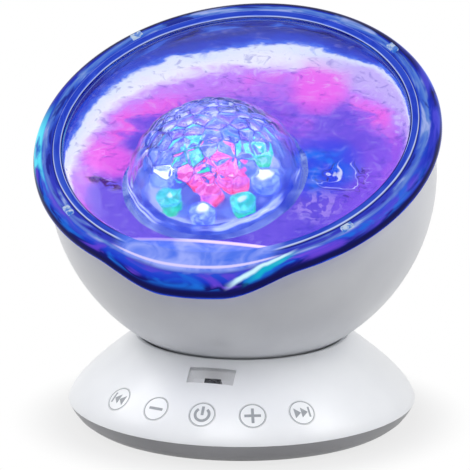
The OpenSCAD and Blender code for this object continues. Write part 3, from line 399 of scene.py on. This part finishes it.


# Painted light: the lamp's colour fades towards the top of each lens, with painted glints
lens_glow_fade = 1 - 0.25 * lens_up.step(-5.5, -2.0)
lens_glints = lens_place.noise(0.003, 2.0, 1.0).step(0.35, 0.7)
lens_red = lens_glints.mix(rgb(212, 6, 66), rgb(255, 96, 138))
lens_green = lens_glints.mix(rgb(0, 170, 96), rgb(10, 216, 146))
lens_white = lens_back.step(13.0, 14.0).mix(rgb(250, 250, 255), rgb(70, 120, 255))
lens_glow_colour = lens_glints.mix(rgb(64, 92, 222), rgb(140, 166, 250))
lens_glow_colour = lens_heart(white_out, 0.0, 1.0, 11.0).mix(lens_glow_colour, lens_white)
lens_glow_colour = (lens_heart(green_out, green_out) * lens_glow_fade).mix(lens_glow_colour, lens_green)
lens_glow_colour = (lens_heart(red_out, 0.0) * lens_glow_fade).mix(lens_glow_colour, lens_red)
# Painted highlight: a pale bright heart over each red and green lamp
lens_heart_highlight = lens_heart(green_out, green_out, 0.2, 3.0) + lens_heart(red_out, 0.0, 0.2, 2.0)
lens_glow_colour = (0.55 * lens_heart_highlight).mix(lens_glow_colour, rgb(255, 236, 246))
lens_glow_colour.feed(lens_shader, "Emission Color")
lens_glow_colour.feed(lens_shader, "Base Color")
dress(lens_glass, "lamp_lenses")

# Drive: a small gear motor under the deck, the pinion on its steel shaft and the toothed ring that carries
# the dome on a slip ring of nylon. Pinion and toothed ring are moulded acetal, which slides without grease,
# and glow with painted blue light that stands in for the lamps' light.

acetal, acetal_shader, acetal_place = lit("lit acetal", 0.8, {"Roughness": 0.35})
acetal_glow_clouds = acetal_place.noise(0.01, 3.0, 0.6).step(0.3, 0.7)
acetal_glow_clouds.mix(rgb(34, 66, 208), rgb(150, 172, 250)).feed(acetal_shader, "Emission Color")
dress(acetal, "motor_pinion", "drive_ring")
dress(nylon, "slip_ring")
dress(stem_steel, "motor_shaft")
dress(metal("motor can", rgb(150, 152, 156), rgb(196, 198, 202), 0.28), "gear_motor")

# Reflector: a shallow moulded bowl round the dome, screwed down, with a pearly face that throws the lamps'
# light about. That light is painted on it as a glow in bands, from violet at the floor through pink and white
# to deep blue at the rim.

pearl, pearl_shader, pearl_place = lit("lit reflector", 1.0, {"Roughness": 0.25, "Specular IOR Level": 0.05})
pearl_right, pearl_back, pearl_up = in_head(pearl_place)
streaks = pearl_place.node("VectorMath", {"operation": "MULTIPLY"}, {0: pearl_place, 1: (1.0, 1.0, 2.6)})
wave = streaks.noise(0.03, 3.0, 0.8) - 0.5
fine_wave = streaks.noise(0.005, 4.0, 0.8) - 0.5
blush = pearl_place.noise(0.028, 2.0, 0.5).step(0.36, 0.62)
aside = abs(pearl_right).step(12.0, 60.0)
ahead = 1 - pearl_back.step(-30.0, 5.0)
pearl_height = pearl_up * (1 - 0.25 * aside) + 5.0 * wave + 2.6 * fine_wave - 2.25 * aside - 2.5 * ahead
# The white band reaches higher behind the dome and at its right
white_reach = pearl_back.step(20.0, 45.0) * pearl_right.step(-32.0, -5.0) * pearl_height.step(1.0, 5.0)
pearl_height = pearl_height - 1.9 * white_reach
bands_low, bands_high = -5.0, 13.0
share = (pearl_height - bands_low) / (bands_high - bands_low)
light_bands = share.node("ValToRGB", {"stops": [
    (0.00, rgb(92, 66, 220)), (0.06, rgb(118, 76, 228)), (0.11, rgb(170, 88, 236)),
    (0.15, rgb(238, 96, 234)), (0.21, rgb(230, 112, 244)), (0.27, rgb(208, 144, 252)),
    (0.33, rgb(226, 198, 255)), (0.39, rgb(244, 242, 255)), (0.56, rgb(226, 235, 255)),
    (0.61, rgb(66, 112, 240)), (0.69, rgb(8, 58, 206)), (0.86, rgb(6, 34, 156)),
    (1.00, rgb(34, 70, 206))]}, {"Fac": share})
violet_light = share.step(0.02, 0.22).mix(rgb(120, 92, 232), rgb(190, 128, 250))
light_bands = (blush * (1 - share.step(0.24, 0.34)) * 0.75).mix(light_bands, violet_light)


def spot(at, near, far):
    """1 within near mm of a place on the reflector's floor, 0 beyond far mm."""
    right, back = pearl_right - at[0], pearl_back - at[1]
    return 1 - (right * right + back * back).step(near * near, far * far)


# The right wall is violet under lilac, with the strongest pink behind the dome and close at its left
right_wall = pearl_right.step(30.0, 48.0) * (1 - pearl_back.step(12.0, 34.0)) * (1 - share.step(0.3, 0.42))
light_bands = (0.85 * right_wall).mix(light_bands, rgb(134, 82, 236))
lilac_wall = pearl_right.step(2.0, 36.0) * share.step(0.2, 0.34) * (1 - share.step(0.44, 0.58))
light_bands = (0.7 * lilac_wall).mix(light_bands, rgb(182, 142, 247))
pink_spots = spot((20.0, 50.0), 5.0, 15.0) + spot((-52.0, 3.0), 4.0, 12.0)
light_bands = (0.8 * pink_spots * (1 - share.step(0.3, 0.45))).mix(light_bands, rgb(250, 98, 240))
# To the right of the dome the blue light that its wall throws on the floor is painted, with a few
# squiggles of painted highlight and painted shade
floor_blue = pearl_place.noise(0.02, 2.0, 1.0).step(0.4, 0.65).mix(rgb(34, 62, 232), rgb(8, 112, 240))
reflector_light = spot((27.0, 8.0), 7.0, 20.0).mix(light_bands, floor_blue)
pale_floor = pearl_place.noise(0.006, 2.0, 1.5).step(0.5, 0.56)
reflector_light = (0.45 * pale_floor * spot((31.0, -13.0), 2.0, 12.0)).mix(reflector_light, rgb(200, 168, 246))
squiggle_noise = pearl_place.noise(0.016, 2.0, 1.6)
squiggle_spot = spot((37.0, 2.0), 3.0, 14.0)
shade_squiggle = 1 - abs(squiggle_noise - 0.53).step(0.004, 0.012)
highlight_squiggle = 1 - abs(squiggle_noise - 0.46).step(0.003, 0.011)
# Painted shade: a dark wavy line crosses the floor at the left of the dome
shade_line_left = (1 - abs(pearl_back + 9.5 + 14.0 * fine_wave).step(0.3, 1.3)) * spot((-51.0, -9.5), 4.0, 8.0)
reflector_light = (shade_squiggle * squiggle_spot).mix(reflector_light, rgb(44, 24, 120))
reflector_light = shade_line_left.mix(reflector_light, rgb(74, 6, 120))
reflector_light = (0.85 * highlight_squiggle * squiggle_spot).mix(reflector_light, rgb(228, 232, 255))
# Fine strokes of painted highlight and painted shade give the light a watery look
strokes = streaks.noise(0.006, 4.0, 1.2)
pale_part = share.step(0.12, 0.3) * (1 - share.step(0.56, 0.64))
reflector_light = ((0.1 + 0.3 * pale_part) * strokes.step(0.54, 0.7)).mix(reflector_light, rgb(232, 224, 255))
(0.4 * (1 - strokes.step(0.3, 0.46))).mix(reflector_light, rgb(48, 44, 196)).feed(pearl_shader, "Emission Color")
dress(pearl, "reflector")

# Ripple dome: a clear bell of moulded acrylic with a pebbled crown and a plainer skirt, which turns over the
# lamps on the toothed ring. Its pebbles bend the lamps' light into the moving ripples on the ceiling.

head_matrix = Matrix.Translation(head_center) @ Matrix(
    (Vector((1, 0, 0)), head_back, head_axis)).transposed().to_4x4() @ Matrix.Scale(MM, 4)
dome_in_head = np.array([v.co for v in nodes["ripple_dome"].data.vertices]) - np.array(head_center)
dome_foot = float((dome_in_head @ np.array(head_axis)).min()) / MM
dome_top = float((dome_in_head @ np.array(head_axis)).max()) / MM
dome_height = dome_top - dome_foot
dome_middle = np.array([dome_shift / MM, 0.0, dome_foot])
dome_r = float(dome_in_head[:, 0].max() / MM) - dome_middle[0]
dome_wall = 2.0
dome_sides, dome_rings = 256, 96
pebble_count = 180
pebble_height, pebble_sunk, pebble_edge = 0.85, 0.75, 4.2
turn_play = 0.16
crown_start, crown_blend = 0.55, 0.25
skirt_share, skirt_blend = 0.16, 5.0
billow_height, billow_blend = 0.35, 8.0
groove_share = 0.3
random.seed(5)


def bell(radius, height):
    """Points of half an ellipsoid on its foot, ring by ring from the foot to the top."""
    rows = []
    for i in range(dome_rings):
        e = 0.5 * math.pi * i / dome_rings
        ring = radius * math.cos(e)
        for k in range(dome_sides):
            a = 2 * math.pi * k / dome_sides
            rows.append((ring * math.cos(a), ring * math.sin(a), height * math.sin(e)))
    return np.array(rows + [(0.0, 0.0, height)])


outside = bell(dome_r, dome_height)
inside = bell(dome_r - dome_wall, dome_height - dome_wall)
golden_turn = math.pi * (3 - math.sqrt(5))
seeds = []
for i in range(pebble_count):
    up = (i + 0.5) / pebble_count
    turn = golden_turn * i + random.uniform(-turn_play, turn_play)
    ring = dome_r * math.sqrt(1 - up * up)
    seeds.append((ring * math.cos(turn), ring * math.sin(turn), up * dome_height))
seeds = np.array(seeds)
gaps = np.sort(np.linalg.norm(outside[:, None, :] - seeds[None, :, :], axis=2), axis=1)[:, :2]
rise = np.clip((gaps[:, 1] - gaps[:, 0]) / pebble_edge, 0, 1)
skirt_part = np.clip(outside[:, 2] / skirt_blend, 0, 1)
crown_part = np.clip((outside[:, 2] / dome_height - crown_start) / crown_blend, 0, 1)
pebbled = skirt_share * skirt_part + (1 - skirt_share) * crown_part ** 2 * (3 - 2 * crown_part)
swell = pebble_height * (np.sqrt(rise) - pebble_sunk) * pebbled
outward = outside / np.array([dome_r ** 2, dome_r ** 2, dome_height ** 2])
outside += outward / np.linalg.norm(outward, axis=1)[:, None] * swell[:, None]
billow = np.sin(inside[:, 0] / 2.1 + 1.5 * np.sin(inside[:, 1] / 4.0)) * np.sin(inside[:, 1] / 2.4)
inside[:, 2] += billow_height * billow * np.clip(inside[:, 2] / billow_blend, 0, 1)


def bell_faces(start, flip):
    """Faces of one skin whose points begin at start."""
    made = []
    for i in range(dome_rings - 1):
        for k in range(dome_sides):
            a, b = start + i * dome_sides + k, start + i * dome_sides + (k + 1) % dome_sides
            made.append((a, b, b + dome_sides, a + dome_sides))
    tip = start + dome_rings * dome_sides
    last = tip - dome_sides
    made += [(last + k, last + (k + 1) % dome_sides, tip) for k in range(dome_sides)]
    return [tuple(reversed(f)) for f in made] if flip else made


skin = len(outside)
foot_ring = [(skin + k, skin + (k + 1) % dome_sides, (k + 1) % dome_sides, k) for k in range(dome_sides)]
dome_points = [head_matrix @ Vector(p) for p in np.vstack([outside, inside]) + dome_middle]


def piece(name, points, faces, body):
    """A new smooth mesh, its points in the part's frame, that moves with a body."""
    mesh = bpy.data.meshes.new(name)
    mesh.from_pydata(points, [], faces)
    mesh.shade_smooth()
    made = bpy.data.objects.new(name, mesh)
    bpy.context.scene.collection.objects.link(made)
    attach(made, body)
    return made


dome = piece("pebbled_dome", dome_points, bell_faces(0, False) + bell_faces(skin, True) + foot_ring, "dome")
dome_glass, dome_shader, dome_place = finish(
    "dome acrylic", {"Transmission Weight": 1.0, "IOR": 1.4, "Emission Strength": 1.0})
groove = dome.data.attributes.new("groove", "FLOAT", "POINT")
grooved = 1 - (1 - np.clip(rise / groove_share, 0, 1)) * pebbled
groove.data.foreach_set("value", list(grooved) + [1.0] * len(inside))
dome_pebble = dome_place.node("Attribute", {"attribute_name": "groove"}, {}, 2)
dome_tint = dome_place.noise(0.02, 2.0).mix(rgb(206, 216, 252), rgb(236, 240, 255))
# Painted shade: the grooves between the pebbles are darkened in the glass's colour, in patches
groove_shade = (1 - dome_pebble.step(0.1, 0.9)) * dome_place.noise(0.008, 2.0).step(0.36, 0.58)
groove_shade.mix(dome_tint, rgb(56, 70, 196)).feed(dome_shader, "Base Color")
dome_up = in_head(dome_place)[2]
dome_high = dome_up.step(0.5 * (dome_foot + dome_top), dome_top)
(0.02 + 0.03 * dome_place.noise(0.01) + 0.09 * (1 - dome_high.step(0.0, 0.3))).feed(dome_shader, "Roughness")
# Painted light: the dome glows faintly, more strongly and in broken clouds at its crown
dome_clouds = dome_place.noise(0.006, 2.0, 0.8).step(0.42, 0.68)
dome_shine = dome_clouds * (0.4 + 0.6 * dome_high * dome_pebble.step(0.3, 1.0))
dome_glow = dome_shine.mix(rgb(1, 4, 45), dome_high.mix(rgb(56, 60, 88), rgb(96, 102, 176)))
# A wavy line of painted highlight runs low round the skirt, broken in places
skirt_highlight_height = dome_foot + 5.5
skirt_highlight = 1 - abs(dome_up - skirt_highlight_height - 6.0 * (dome_place.noise(0.016, 2.0) - 0.5)).step(0.2, 0.9)
(0.6 * skirt_highlight * dome_place.noise(0.024, 2.0).step(0.44, 0.56)).mix(dome_glow, rgb(226, 234, 255)).feed(
    dome_shader, "Emission Color")
dome.data.materials.append(dome_glass)
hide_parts("ripple_dome")

# Cover: one clear acrylic moulding, held on the bowl's rim by clips. It has a domed lens with faint waves on
# its underside, a raised ridge, a thick rounded flange and a front lip to lift it by. The flange gathers
# the lamps' light, painted on it as a blue glow with painted highlight lines and dark bands.

flange_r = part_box("cover_lens")[1].x / MM
bowl_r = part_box("bowl")[1].x / MM
rim_height, bowl_wall, rim_gap = 17.0, 2.5, 0.4
flange_thick, skirt_drop = 3.4, 1.5
cover_rise, cover_wall = 8.5, 2.2
ridge_half, ridge_height, ridge_slope, ridge_inset = 1.4, 0.9, 0.4, 1.2
ridge_gap_angle, ridge_blend = 19.0, 4.0
lip_half_angle, lip_blend, lip_drop, lip_reach = 30.0, 22.0, 6.0, 1.5
spigot_depth, spigot_wall, seam_gap = 3.4, 1.4, 0.2
edge_round, edge_flat = 4.2, 0.6
rim_in = math.sqrt((bowl_r - bowl_wall) ** 2 - rim_height ** 2)
ridge_r = rim_in - ridge_inset
flange_top = rim_height + flange_thick
skirt_z = rim_height - skirt_drop
lens_gap, lip_gap = 0.5, 0.9
cover_edge_r = ridge_r - ridge_half - lens_gap
lip_start = ridge_r + ridge_half + lip_gap
edge_start = flange_r - edge_round
cover_sides, lens_rings, edge_steps = 288, 44, 14
wave_height, wave_r, wave_fade = 0.1, 50.0, 13.0


def smooth(x):
    """0 below 0, 1 above 1, smooth between."""
    x = max(0.0, min(1.0, x))
    return x * x * (3 - 2 * x)


def underside_waves(x, y):
    """Faint waves on the lens's underside, in mm."""
    fade = 1 - smooth((math.hypot(x, y) - wave_r) / wave_fade)
    return wave_height * fade * (math.sin(y / 1.5 + 1.6 * math.sin(x / 7.0)) * 0.6
                                 + math.sin(x / 2.6 + y / 3.1 + 1.2 * math.sin(y / 6.0)) * 0.5)


def cover_section(turn):
    """Radius and height along the cover's section in three runs: its top, its lit edge and its underside."""
    angle = math.degrees(turn) if turn <= math.pi else math.degrees(turn) - 360
    lip = smooth((lip_half_angle - abs(angle)) / lip_blend)
    ridge = smooth((abs(angle) - ridge_gap_angle) / ridge_blend) * ridge_height

    def sheared(r, z):
        f = max(0.0, (r - lip_start) / (flange_r - lip_start))
        return r + lip * lip_reach * f, z - lip * lip_drop * f

    def lens(r, top):
        return [(r * i / lens_rings, top + cover_rise * (1 - (i / lens_rings) ** 2))
                for i in range(1, lens_rings + 1)]

    edge = [sheared(edge_start + edge_round * math.sin(0.5 * math.pi * i / edge_steps), skirt_z + edge_flat
                    + (flange_top - skirt_z - edge_flat) * math.cos(0.5 * math.pi * i / edge_steps))
            for i in range(edge_steps + 1)]
    skirt = [(math.sqrt(bowl_r ** 2 - z ** 2) + rim_gap, z)
             for z in np.linspace(skirt_z - lip * lip_drop, rim_height, 5)]
    spigot_r = rim_in - rim_gap
    top = lens(cover_edge_r, flange_top)
    lit_part = [(ridge_r - ridge_half, flange_top), (ridge_r - ridge_half + ridge_slope, flange_top + ridge),
                (ridge_r + ridge_half - ridge_slope, flange_top + ridge), (ridge_r + ridge_half, flange_top),
                (lip_start, flange_top), *edge, sheared(flange_r, skirt_z), *skirt,
                (spigot_r, rim_height - spigot_depth), (spigot_r - spigot_wall, rim_height - spigot_depth),
                (spigot_r - spigot_wall, rim_height - seam_gap)]
    under = lens(cover_edge_r - edge_flat, flange_top - cover_wall)[::-1]
    return top, lit_part, under


back_top, back_lit = cover_section(math.pi)[:2]
lit_lengths = np.cumsum([math.dist(a, b) for a, b in zip([back_top[-1]] + back_lit, back_lit)])
cover_points, cover_lit = [], []
for i in range(cover_sides):
    turn = 2 * math.pi * i / cover_sides
    top, lit_part, under = cover_section(turn)
    away = turn - 0.5 * math.pi
    for r, z in top + lit_part:
        cover_points.append(head_matrix @ Vector((r * math.cos(away), r * math.sin(away), z)))
    for r, z in under:
        x, y = r * math.cos(away), r * math.sin(away)
        cover_points.append(head_matrix @ Vector((x, y, z + underside_waves(x, y))))
    cover_lit += [-1.0] * len(top) + list(lit_lengths) + [-1.0] * len(under)
section_size = len(cover_points) // cover_sides
cover_points += [head_matrix @ Vector((0, 0, flange_top + cover_rise)),
                 head_matrix @ Vector((0, 0, flange_top + cover_rise - cover_wall + underside_waves(0, 0)))]
cover_lit += [-1.0, -1.0]
cover_tip = cover_sides * section_size
cover_faces, cover_glow = [], []
for i in range(cover_sides):
    a, b = i * section_size, (i + 1) % cover_sides * section_size
    cover_faces += [(cover_tip, a, b), (cover_tip + 1, b + section_size - 1, a + section_size - 1)]
    cover_glow += [0, 0]
    for j in range(section_size - 1):
        cover_faces.append((a + j, a + j + 1, b + j + 1, b + j))
        clear = j + 1 < lens_rings or j >= section_size - lens_rings
        cover_glow.append(0 if clear else 1)
cover = piece("clear_cover", cover_points, cover_faces, "head")
cover.data.polygons.foreach_set("material_index", cover_glow)
cover.data.set_sharp_from_angle(angle=math.radians(40))
along = cover.data.attributes.new("along", "FLOAT", "POINT")
along.data.foreach_set("value", cover_lit)

lens_clear, clear_shader, clear_place = finish(
    "cover acrylic", {"Transmission Weight": 1.0, "IOR": 1.15, "Emission Strength": 1.0})
clear_right, clear_back = in_head(clear_place)[:2]


def scoop_light(place):
    """Clouds of pale blue painted light in the scoop at the front of the cover."""
    return place.noise(0.011, 3.0, 0.8).step(0.3, 0.7).mix(rgb(66, 110, 234), rgb(156, 172, 252))


# The scoop begins at a straight chord between the ridge's ends, along which a highlight line is painted
chord = -60.4
scooped = 1 - clear_back.step(chord - 0.3, chord + 0.3)
chord_highlight = (1 - abs(clear_back - chord).step(0.3, 0.9)) * (0.3 + 0.6 * clear_right.step(-14.0, 4.0))
clear_tint = clear_place.noise(0.03).mix(rgb(240, 244, 255), rgb(252, 253, 255))
# In the scoop the glass is darkened so that it shows only its painted glow
scooped.mix(clear_tint, rgb(20, 20, 40)).feed(clear_shader, "Base Color")
clear_scoop = scooped.mix(rgb(0, 0, 0), scoop_light(clear_place))
chord_highlight.mix(clear_scoop, rgb(250, 226, 255)).feed(clear_shader, "Emission Color")
(0.005 + 0.01 * clear_place.noise(0.02)).feed(clear_shader, "Roughness")

edge_glow, edge_shader, edge_place = lit(
    "lit cover edge", 1.0, {"Roughness": 0.08, "IOR": 1.18, "Specular IOR Level": 0.25})
edge_right, edge_back = in_head(edge_place)[:2]
edge_along = edge_place.node("Attribute", {"attribute_name": "along"}, {}, 2)
edge_out = edge_right.math("SQRT", edge_right * edge_right + edge_back * edge_back)
# Streaks run round the flange: their place is the turn round the rim and, stretched, the way across it
round_scale, across_scale = 0.045, 0.003
ring_place = edge_place.node("CombineXYZ", {}, {
    0: round_scale * edge_right / edge_out, 1: round_scale * edge_back / edge_out,
    2: across_scale * edge_along})
streak = ring_place.noise(0.012, 3.0, 0.5)
behind = edge_back.step(-5.0, 62.0)
ahead_edge = 1 - edge_back.step(-40.0, 10.0)
lit_span = 16.0
edge_share = (edge_along + streak - 0.5 + 4.0 * behind * edge_along.step(7.6, 8.8)) / lit_span
# The bands are painted light: bright highlight lines at the ridge's edges, dark navy at the outer edge
back_bands = edge_share.node("ValToRGB", {"stops": [
    (0.00, rgb(14, 22, 116)), (0.035, rgb(206, 218, 255)), (0.07, rgb(70, 106, 236)),
    (0.20, rgb(92, 120, 242)), (0.235, rgb(230, 236, 255)), (0.265, rgb(8, 16, 96)),
    (0.31, rgb(48, 92, 232)), (0.40, rgb(128, 164, 252)), (0.47, rgb(188, 206, 255)),
    (0.52, rgb(70, 116, 242)), (0.58, rgb(26, 78, 226)), (0.70, rgb(16, 46, 200)),
    (0.77, rgb(4, 10, 96)), (0.88, rgb(2, 3, 64)), (0.95, rgb(20, 50, 190))]}, {"Fac": edge_share})
front_bands = edge_share.node("ValToRGB", {"stops": [
    (0.00, rgb(20, 36, 146)), (0.035, rgb(226, 236, 255)), (0.07, rgb(72, 110, 236)),
    (0.20, rgb(116, 140, 246)), (0.235, rgb(222, 230, 255)), (0.27, rgb(18, 24, 124)),
    (0.31, rgb(88, 86, 226)), (0.42, rgb(112, 90, 230)), (0.49, rgb(190, 196, 255)),
    (0.54, rgb(44, 92, 230)), (0.66, rgb(22, 62, 214)), (0.74, rgb(6, 16, 120)),
    (0.86, rgb(2, 4, 80)), (0.925, rgb(6, 14, 110)), (0.95, rgb(52, 100, 244))]}, {"Fac": edge_share})
edge_bands = ahead_edge.mix(back_bands, front_bands)
ridge_part = edge_along.step(1.3, 1.6) * (1 - edge_along.step(3.2, 3.6))
edge_bands = (0.85 * ridge_part * streak.step(0.44, 0.58)).mix(edge_bands, rgb(40, 82, 224))
flat_part = edge_along.step(4.8, 5.6) * (1 - edge_along.step(7.8, 9.4))
edge_bands = (0.85 * flat_part * streak.step(0.48, 0.6)).mix(edge_bands, rgb(214, 218, 255))
edge_bands = (0.85 * flat_part * (1 - streak.step(0.36, 0.45))).mix(edge_bands, rgb(22, 34, 160))
round_part = edge_along.step(8.2, 9.2) * (1 - edge_along.step(12.0, 13.2))
right_streaks = round_part * edge_right.step(40.0, 72.0) * streak.step(0.42, 0.58)
edge_bands = right_streaks.mix(edge_bands, rgb(92, 84, 232))
low_part = behind * edge_along.step(10.5, 12.5)
edge_bands = (0.9 * low_part * streak.step(0.46, 0.6)).mix(edge_bands, rgb(84, 136, 248))
edge_bands = (0.9 * low_part * (1 - streak.step(0.36, 0.48))).mix(edge_bands, rgb(6, 14, 120))
front_part = ahead_edge * edge_along.step(7.8, 9.0) * (1 - edge_along.step(11.6, 13.0))
front_clouds = ring_place.noise(0.016, 3.0, 1.0)
edge_bands = (0.8 * front_part * front_clouds.step(0.5, 0.6)).mix(edge_bands, rgb(128, 76, 232))
edge_bands = (0.8 * front_part * (1 - front_clouds.step(0.38, 0.47))).mix(edge_bands, rgb(22, 126, 238))
# Between its streaks the flange's painted glow is deep blue, its bright lines kept, with a painted cyan
# highlight at the left
bright_lines = 2 - abs(edge_along - 0.6).step(0.2, 0.6) - abs(edge_along - 3.8).step(0.2, 0.6)
deep_part = (0.95 - 0.4 * streak.step(0.56, 0.66)) * (1 - 0.5 * front_part) * (1 - 0.75 * bright_lines)
edge_bands = deep_part.node("Mix", {"data_type": "RGBA", "blend_type": "MULTIPLY"},
                            {0: deep_part, 6: edge_bands, 7: rgb(108, 154, 206)}, 2)
cyan_highlight = (1 - edge_right.step(-71.0, -58.0)) * edge_back.step(-46.0, -32.0) * (1 - edge_back.step(-8.0, 12.0))
edge_bands = (cyan_highlight * round_part * streak.step(0.36, 0.5)).mix(edge_bands, rgb(90, 228, 250))
# The front lip is a shallow scoop between the ridge's ends, painted with paler light inside, with a painted
# highlight along its rim and a painted highlight and teal glint at its right corner
lip_part = (1 - abs(edge_right).step(25.0, 33.0)) * (1 - edge_back.step(-60.0, -54.0))
scoop = lip_part * (1 - edge_along.step(7.4, 8.8))
edge_bands = scoop.mix(edge_bands, scoop_light(edge_place))
scoop_rim_highlight = scoop * (1 - abs(edge_along - 7.0).step(0.15, 0.5))
edge_bands = (0.85 * scoop_rim_highlight).mix(edge_bands, rgb(226, 214, 255))
corner_span = edge_right.step(11.0, 17.0) * (1 - edge_right.step(31.0, 37.0))
corner_span = corner_span * (1 - edge_back.step(-58.0, -50.0))
corner_way = edge_along + 0.2 * edge_right + 2.4 * (edge_place.noise(0.009, 2.0) - 0.5)
teal_corner_glint = corner_span * (1 - abs(corner_way - 15.3).step(0.5, 1.7)) * edge_right.step(17.0, 25.0)
edge_bands = teal_corner_glint.mix(edge_bands, rgb(0, 176, 204))
lip_corner_highlight = corner_span * (1 - abs(corner_way - 13.8).step(0.2, 1.1))
edge_bands = lip_corner_highlight.mix(edge_bands, rgb(206, 246, 255))
edge_bands.feed(edge_shader, "Emission Color")
cover.data.materials.append(lens_clear)
cover.data.materials.append(edge_glow)
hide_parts("cover_lens")

# Clips: four small snap hooks that hold the cover on the bowl's rim. They are moulded in clear acrylic and
# glow with painted light like the flange's.

clip_glow, clip_shader, clip_place = lit("lit clips", 0.7, {"Roughness": 0.1})
clip_clouds = clip_place.noise(0.002, 2.0).step(0.4, 0.6)
clip_clouds.mix(rgb(60, 130, 235), rgb(205, 228, 255)).feed(clip_shader, "Emission Color")
dress(clip_glow, "cover_clips")

# Studio: a white floor that keeps the shadow near the object, a world that looks white and lights the object
# from both sides, and soft lamps at the sides and high in front. The camera stands where the photograph
# was taken.

floor_half = 3.0
bpy.ops.mesh.primitive_plane_add(size=2 * floor_half)
floor = bpy.context.object
floor.name = "floor"
white_floor, floor_shader, floor_place = finish(
    "white floor", {"Base Color": rgb(160, 160, 162), "Roughness": 0.8})
floor_tree = white_floor.node_tree
# Near the object the floor keeps a part of its shadow, and farther out it is plain white
shadow_inner, shadow_outer = 0.064, 0.09
under_white = 0.78
floor_out = floor_place.node("VectorMath", {"operation": "LENGTH"}, {0: floor_place}, 1)
floor_white = under_white + (1 - under_white) * floor_out.step(shadow_inner, shadow_outer)


def seen_rays(place):
    """1 for rays that come straight from the camera, by way of a mirror or through glass."""
    rays = ("Is Camera Ray", "Is Glossy Ray", "Is Transmission Ray")
    camera_ray, glossy_ray, glass_ray = (place.node("LightPath", {}, {}, ray) for ray in rays)
    return place.math("MINIMUM", camera_ray + glossy_ray + glass_ray, 1.0)


shine = floor_place.node("Emission", {}, {"Color": rgb(255, 255, 255), "Strength": 1.0})
lit_floor = Value(floor_shader.outputs[0])
faded = shine.node("MixShader", {}, {0: floor_white * seen_rays(floor_place), 1: lit_floor, 2: shine})
floor_tree.links.new(faded.socket, floor_tree.nodes["Material Output"].inputs["Surface"])
floor.data.materials.append(white_floor)

world = bpy.data.worlds.new("studio")
bpy.context.scene.world = world
world.use_nodes = True
world_shader = world.node_tree.nodes["Background"]
sky = Value(world.node_tree.nodes.new("ShaderNodeTexCoord").outputs["Generated"])
sky_front, sky_sides = (0.26, 0.26, 0.27, 1.0), (0.95, 0.95, 0.96, 1.0)
sky_overhead, sky_white = (0.2, 0.2, 0.21, 1.0), (1.0, 1.0, 1.0, 1.0)
sky_up = sky.node("SeparateXYZ", {}, {0: sky}, 2)
sky_aside = abs(sky.node("SeparateXYZ", {}, {0: sky}, 0)).step(0.3, 0.85)
sky_light = sky_up.step(0.25, 0.8).mix(sky_aside.mix(sky_front, sky_sides), sky_overhead)
seen_rays(sky).mix(sky_light, sky_white).feed(world_shader, "Color")
lamp_aim = Vector((0, 0, 0.09))


def softbox(name, place, size, power):
    """A square lamp that looks at the middle of the object."""
    lamp = bpy.data.lights.new(name, "AREA")
    lamp.size = size
    lamp.energy = power
    made = bpy.data.objects.new(name, lamp)
    made.location = place
    made.rotation_euler = (lamp_aim - Vector(place)).to_track_quat("-Z", "Y").to_euler()
    bpy.context.scene.collection.objects.link(made)


softbox("lamp_left", (-0.85, -0.1, 0.9), 0.6, 5.0)
softbox("lamp_right", (0.85, -0.1, 0.9), 0.6, 5.0)
softbox("lamp_front", (0.0, -0.78, 1.05), 0.6, 5.2)

view_azimuth, view_elevation = math.radians(14.2), math.radians(12.8)
view_distance = 1.2
picture = 470
pixels_per_metre = 2683.0
head_pixel = (242.0, 171.0)
toward = Vector((math.cos(view_elevation) * math.sin(view_azimuth),
                 -math.cos(view_elevation) * math.cos(view_azimuth), math.sin(view_elevation)))
rightward = Vector((math.cos(view_azimuth), math.sin(view_azimuth), 0))
aim = (head_center + rightward * (picture / 2 - head_pixel[0]) / pixels_per_metre
       - toward.cross(rightward) * (picture / 2 - head_pixel[1]) / pixels_per_metre)
camera_data = bpy.data.cameras.new("camera")
camera_data.sensor_width = 36.0
camera_data.lens = camera_data.sensor_width * pixels_per_metre * view_distance / picture
camera = bpy.data.objects.new("camera", camera_data)
camera.location = head_center + toward * view_distance
camera.rotation_euler = (camera.location - aim).to_track_quat("Z", "Y").to_euler()
bpy.context.scene.collection.objects.link(camera)
bpy.context.scene.camera = camera
bpy.context.scene.view_settings.view_transform = "Standard"
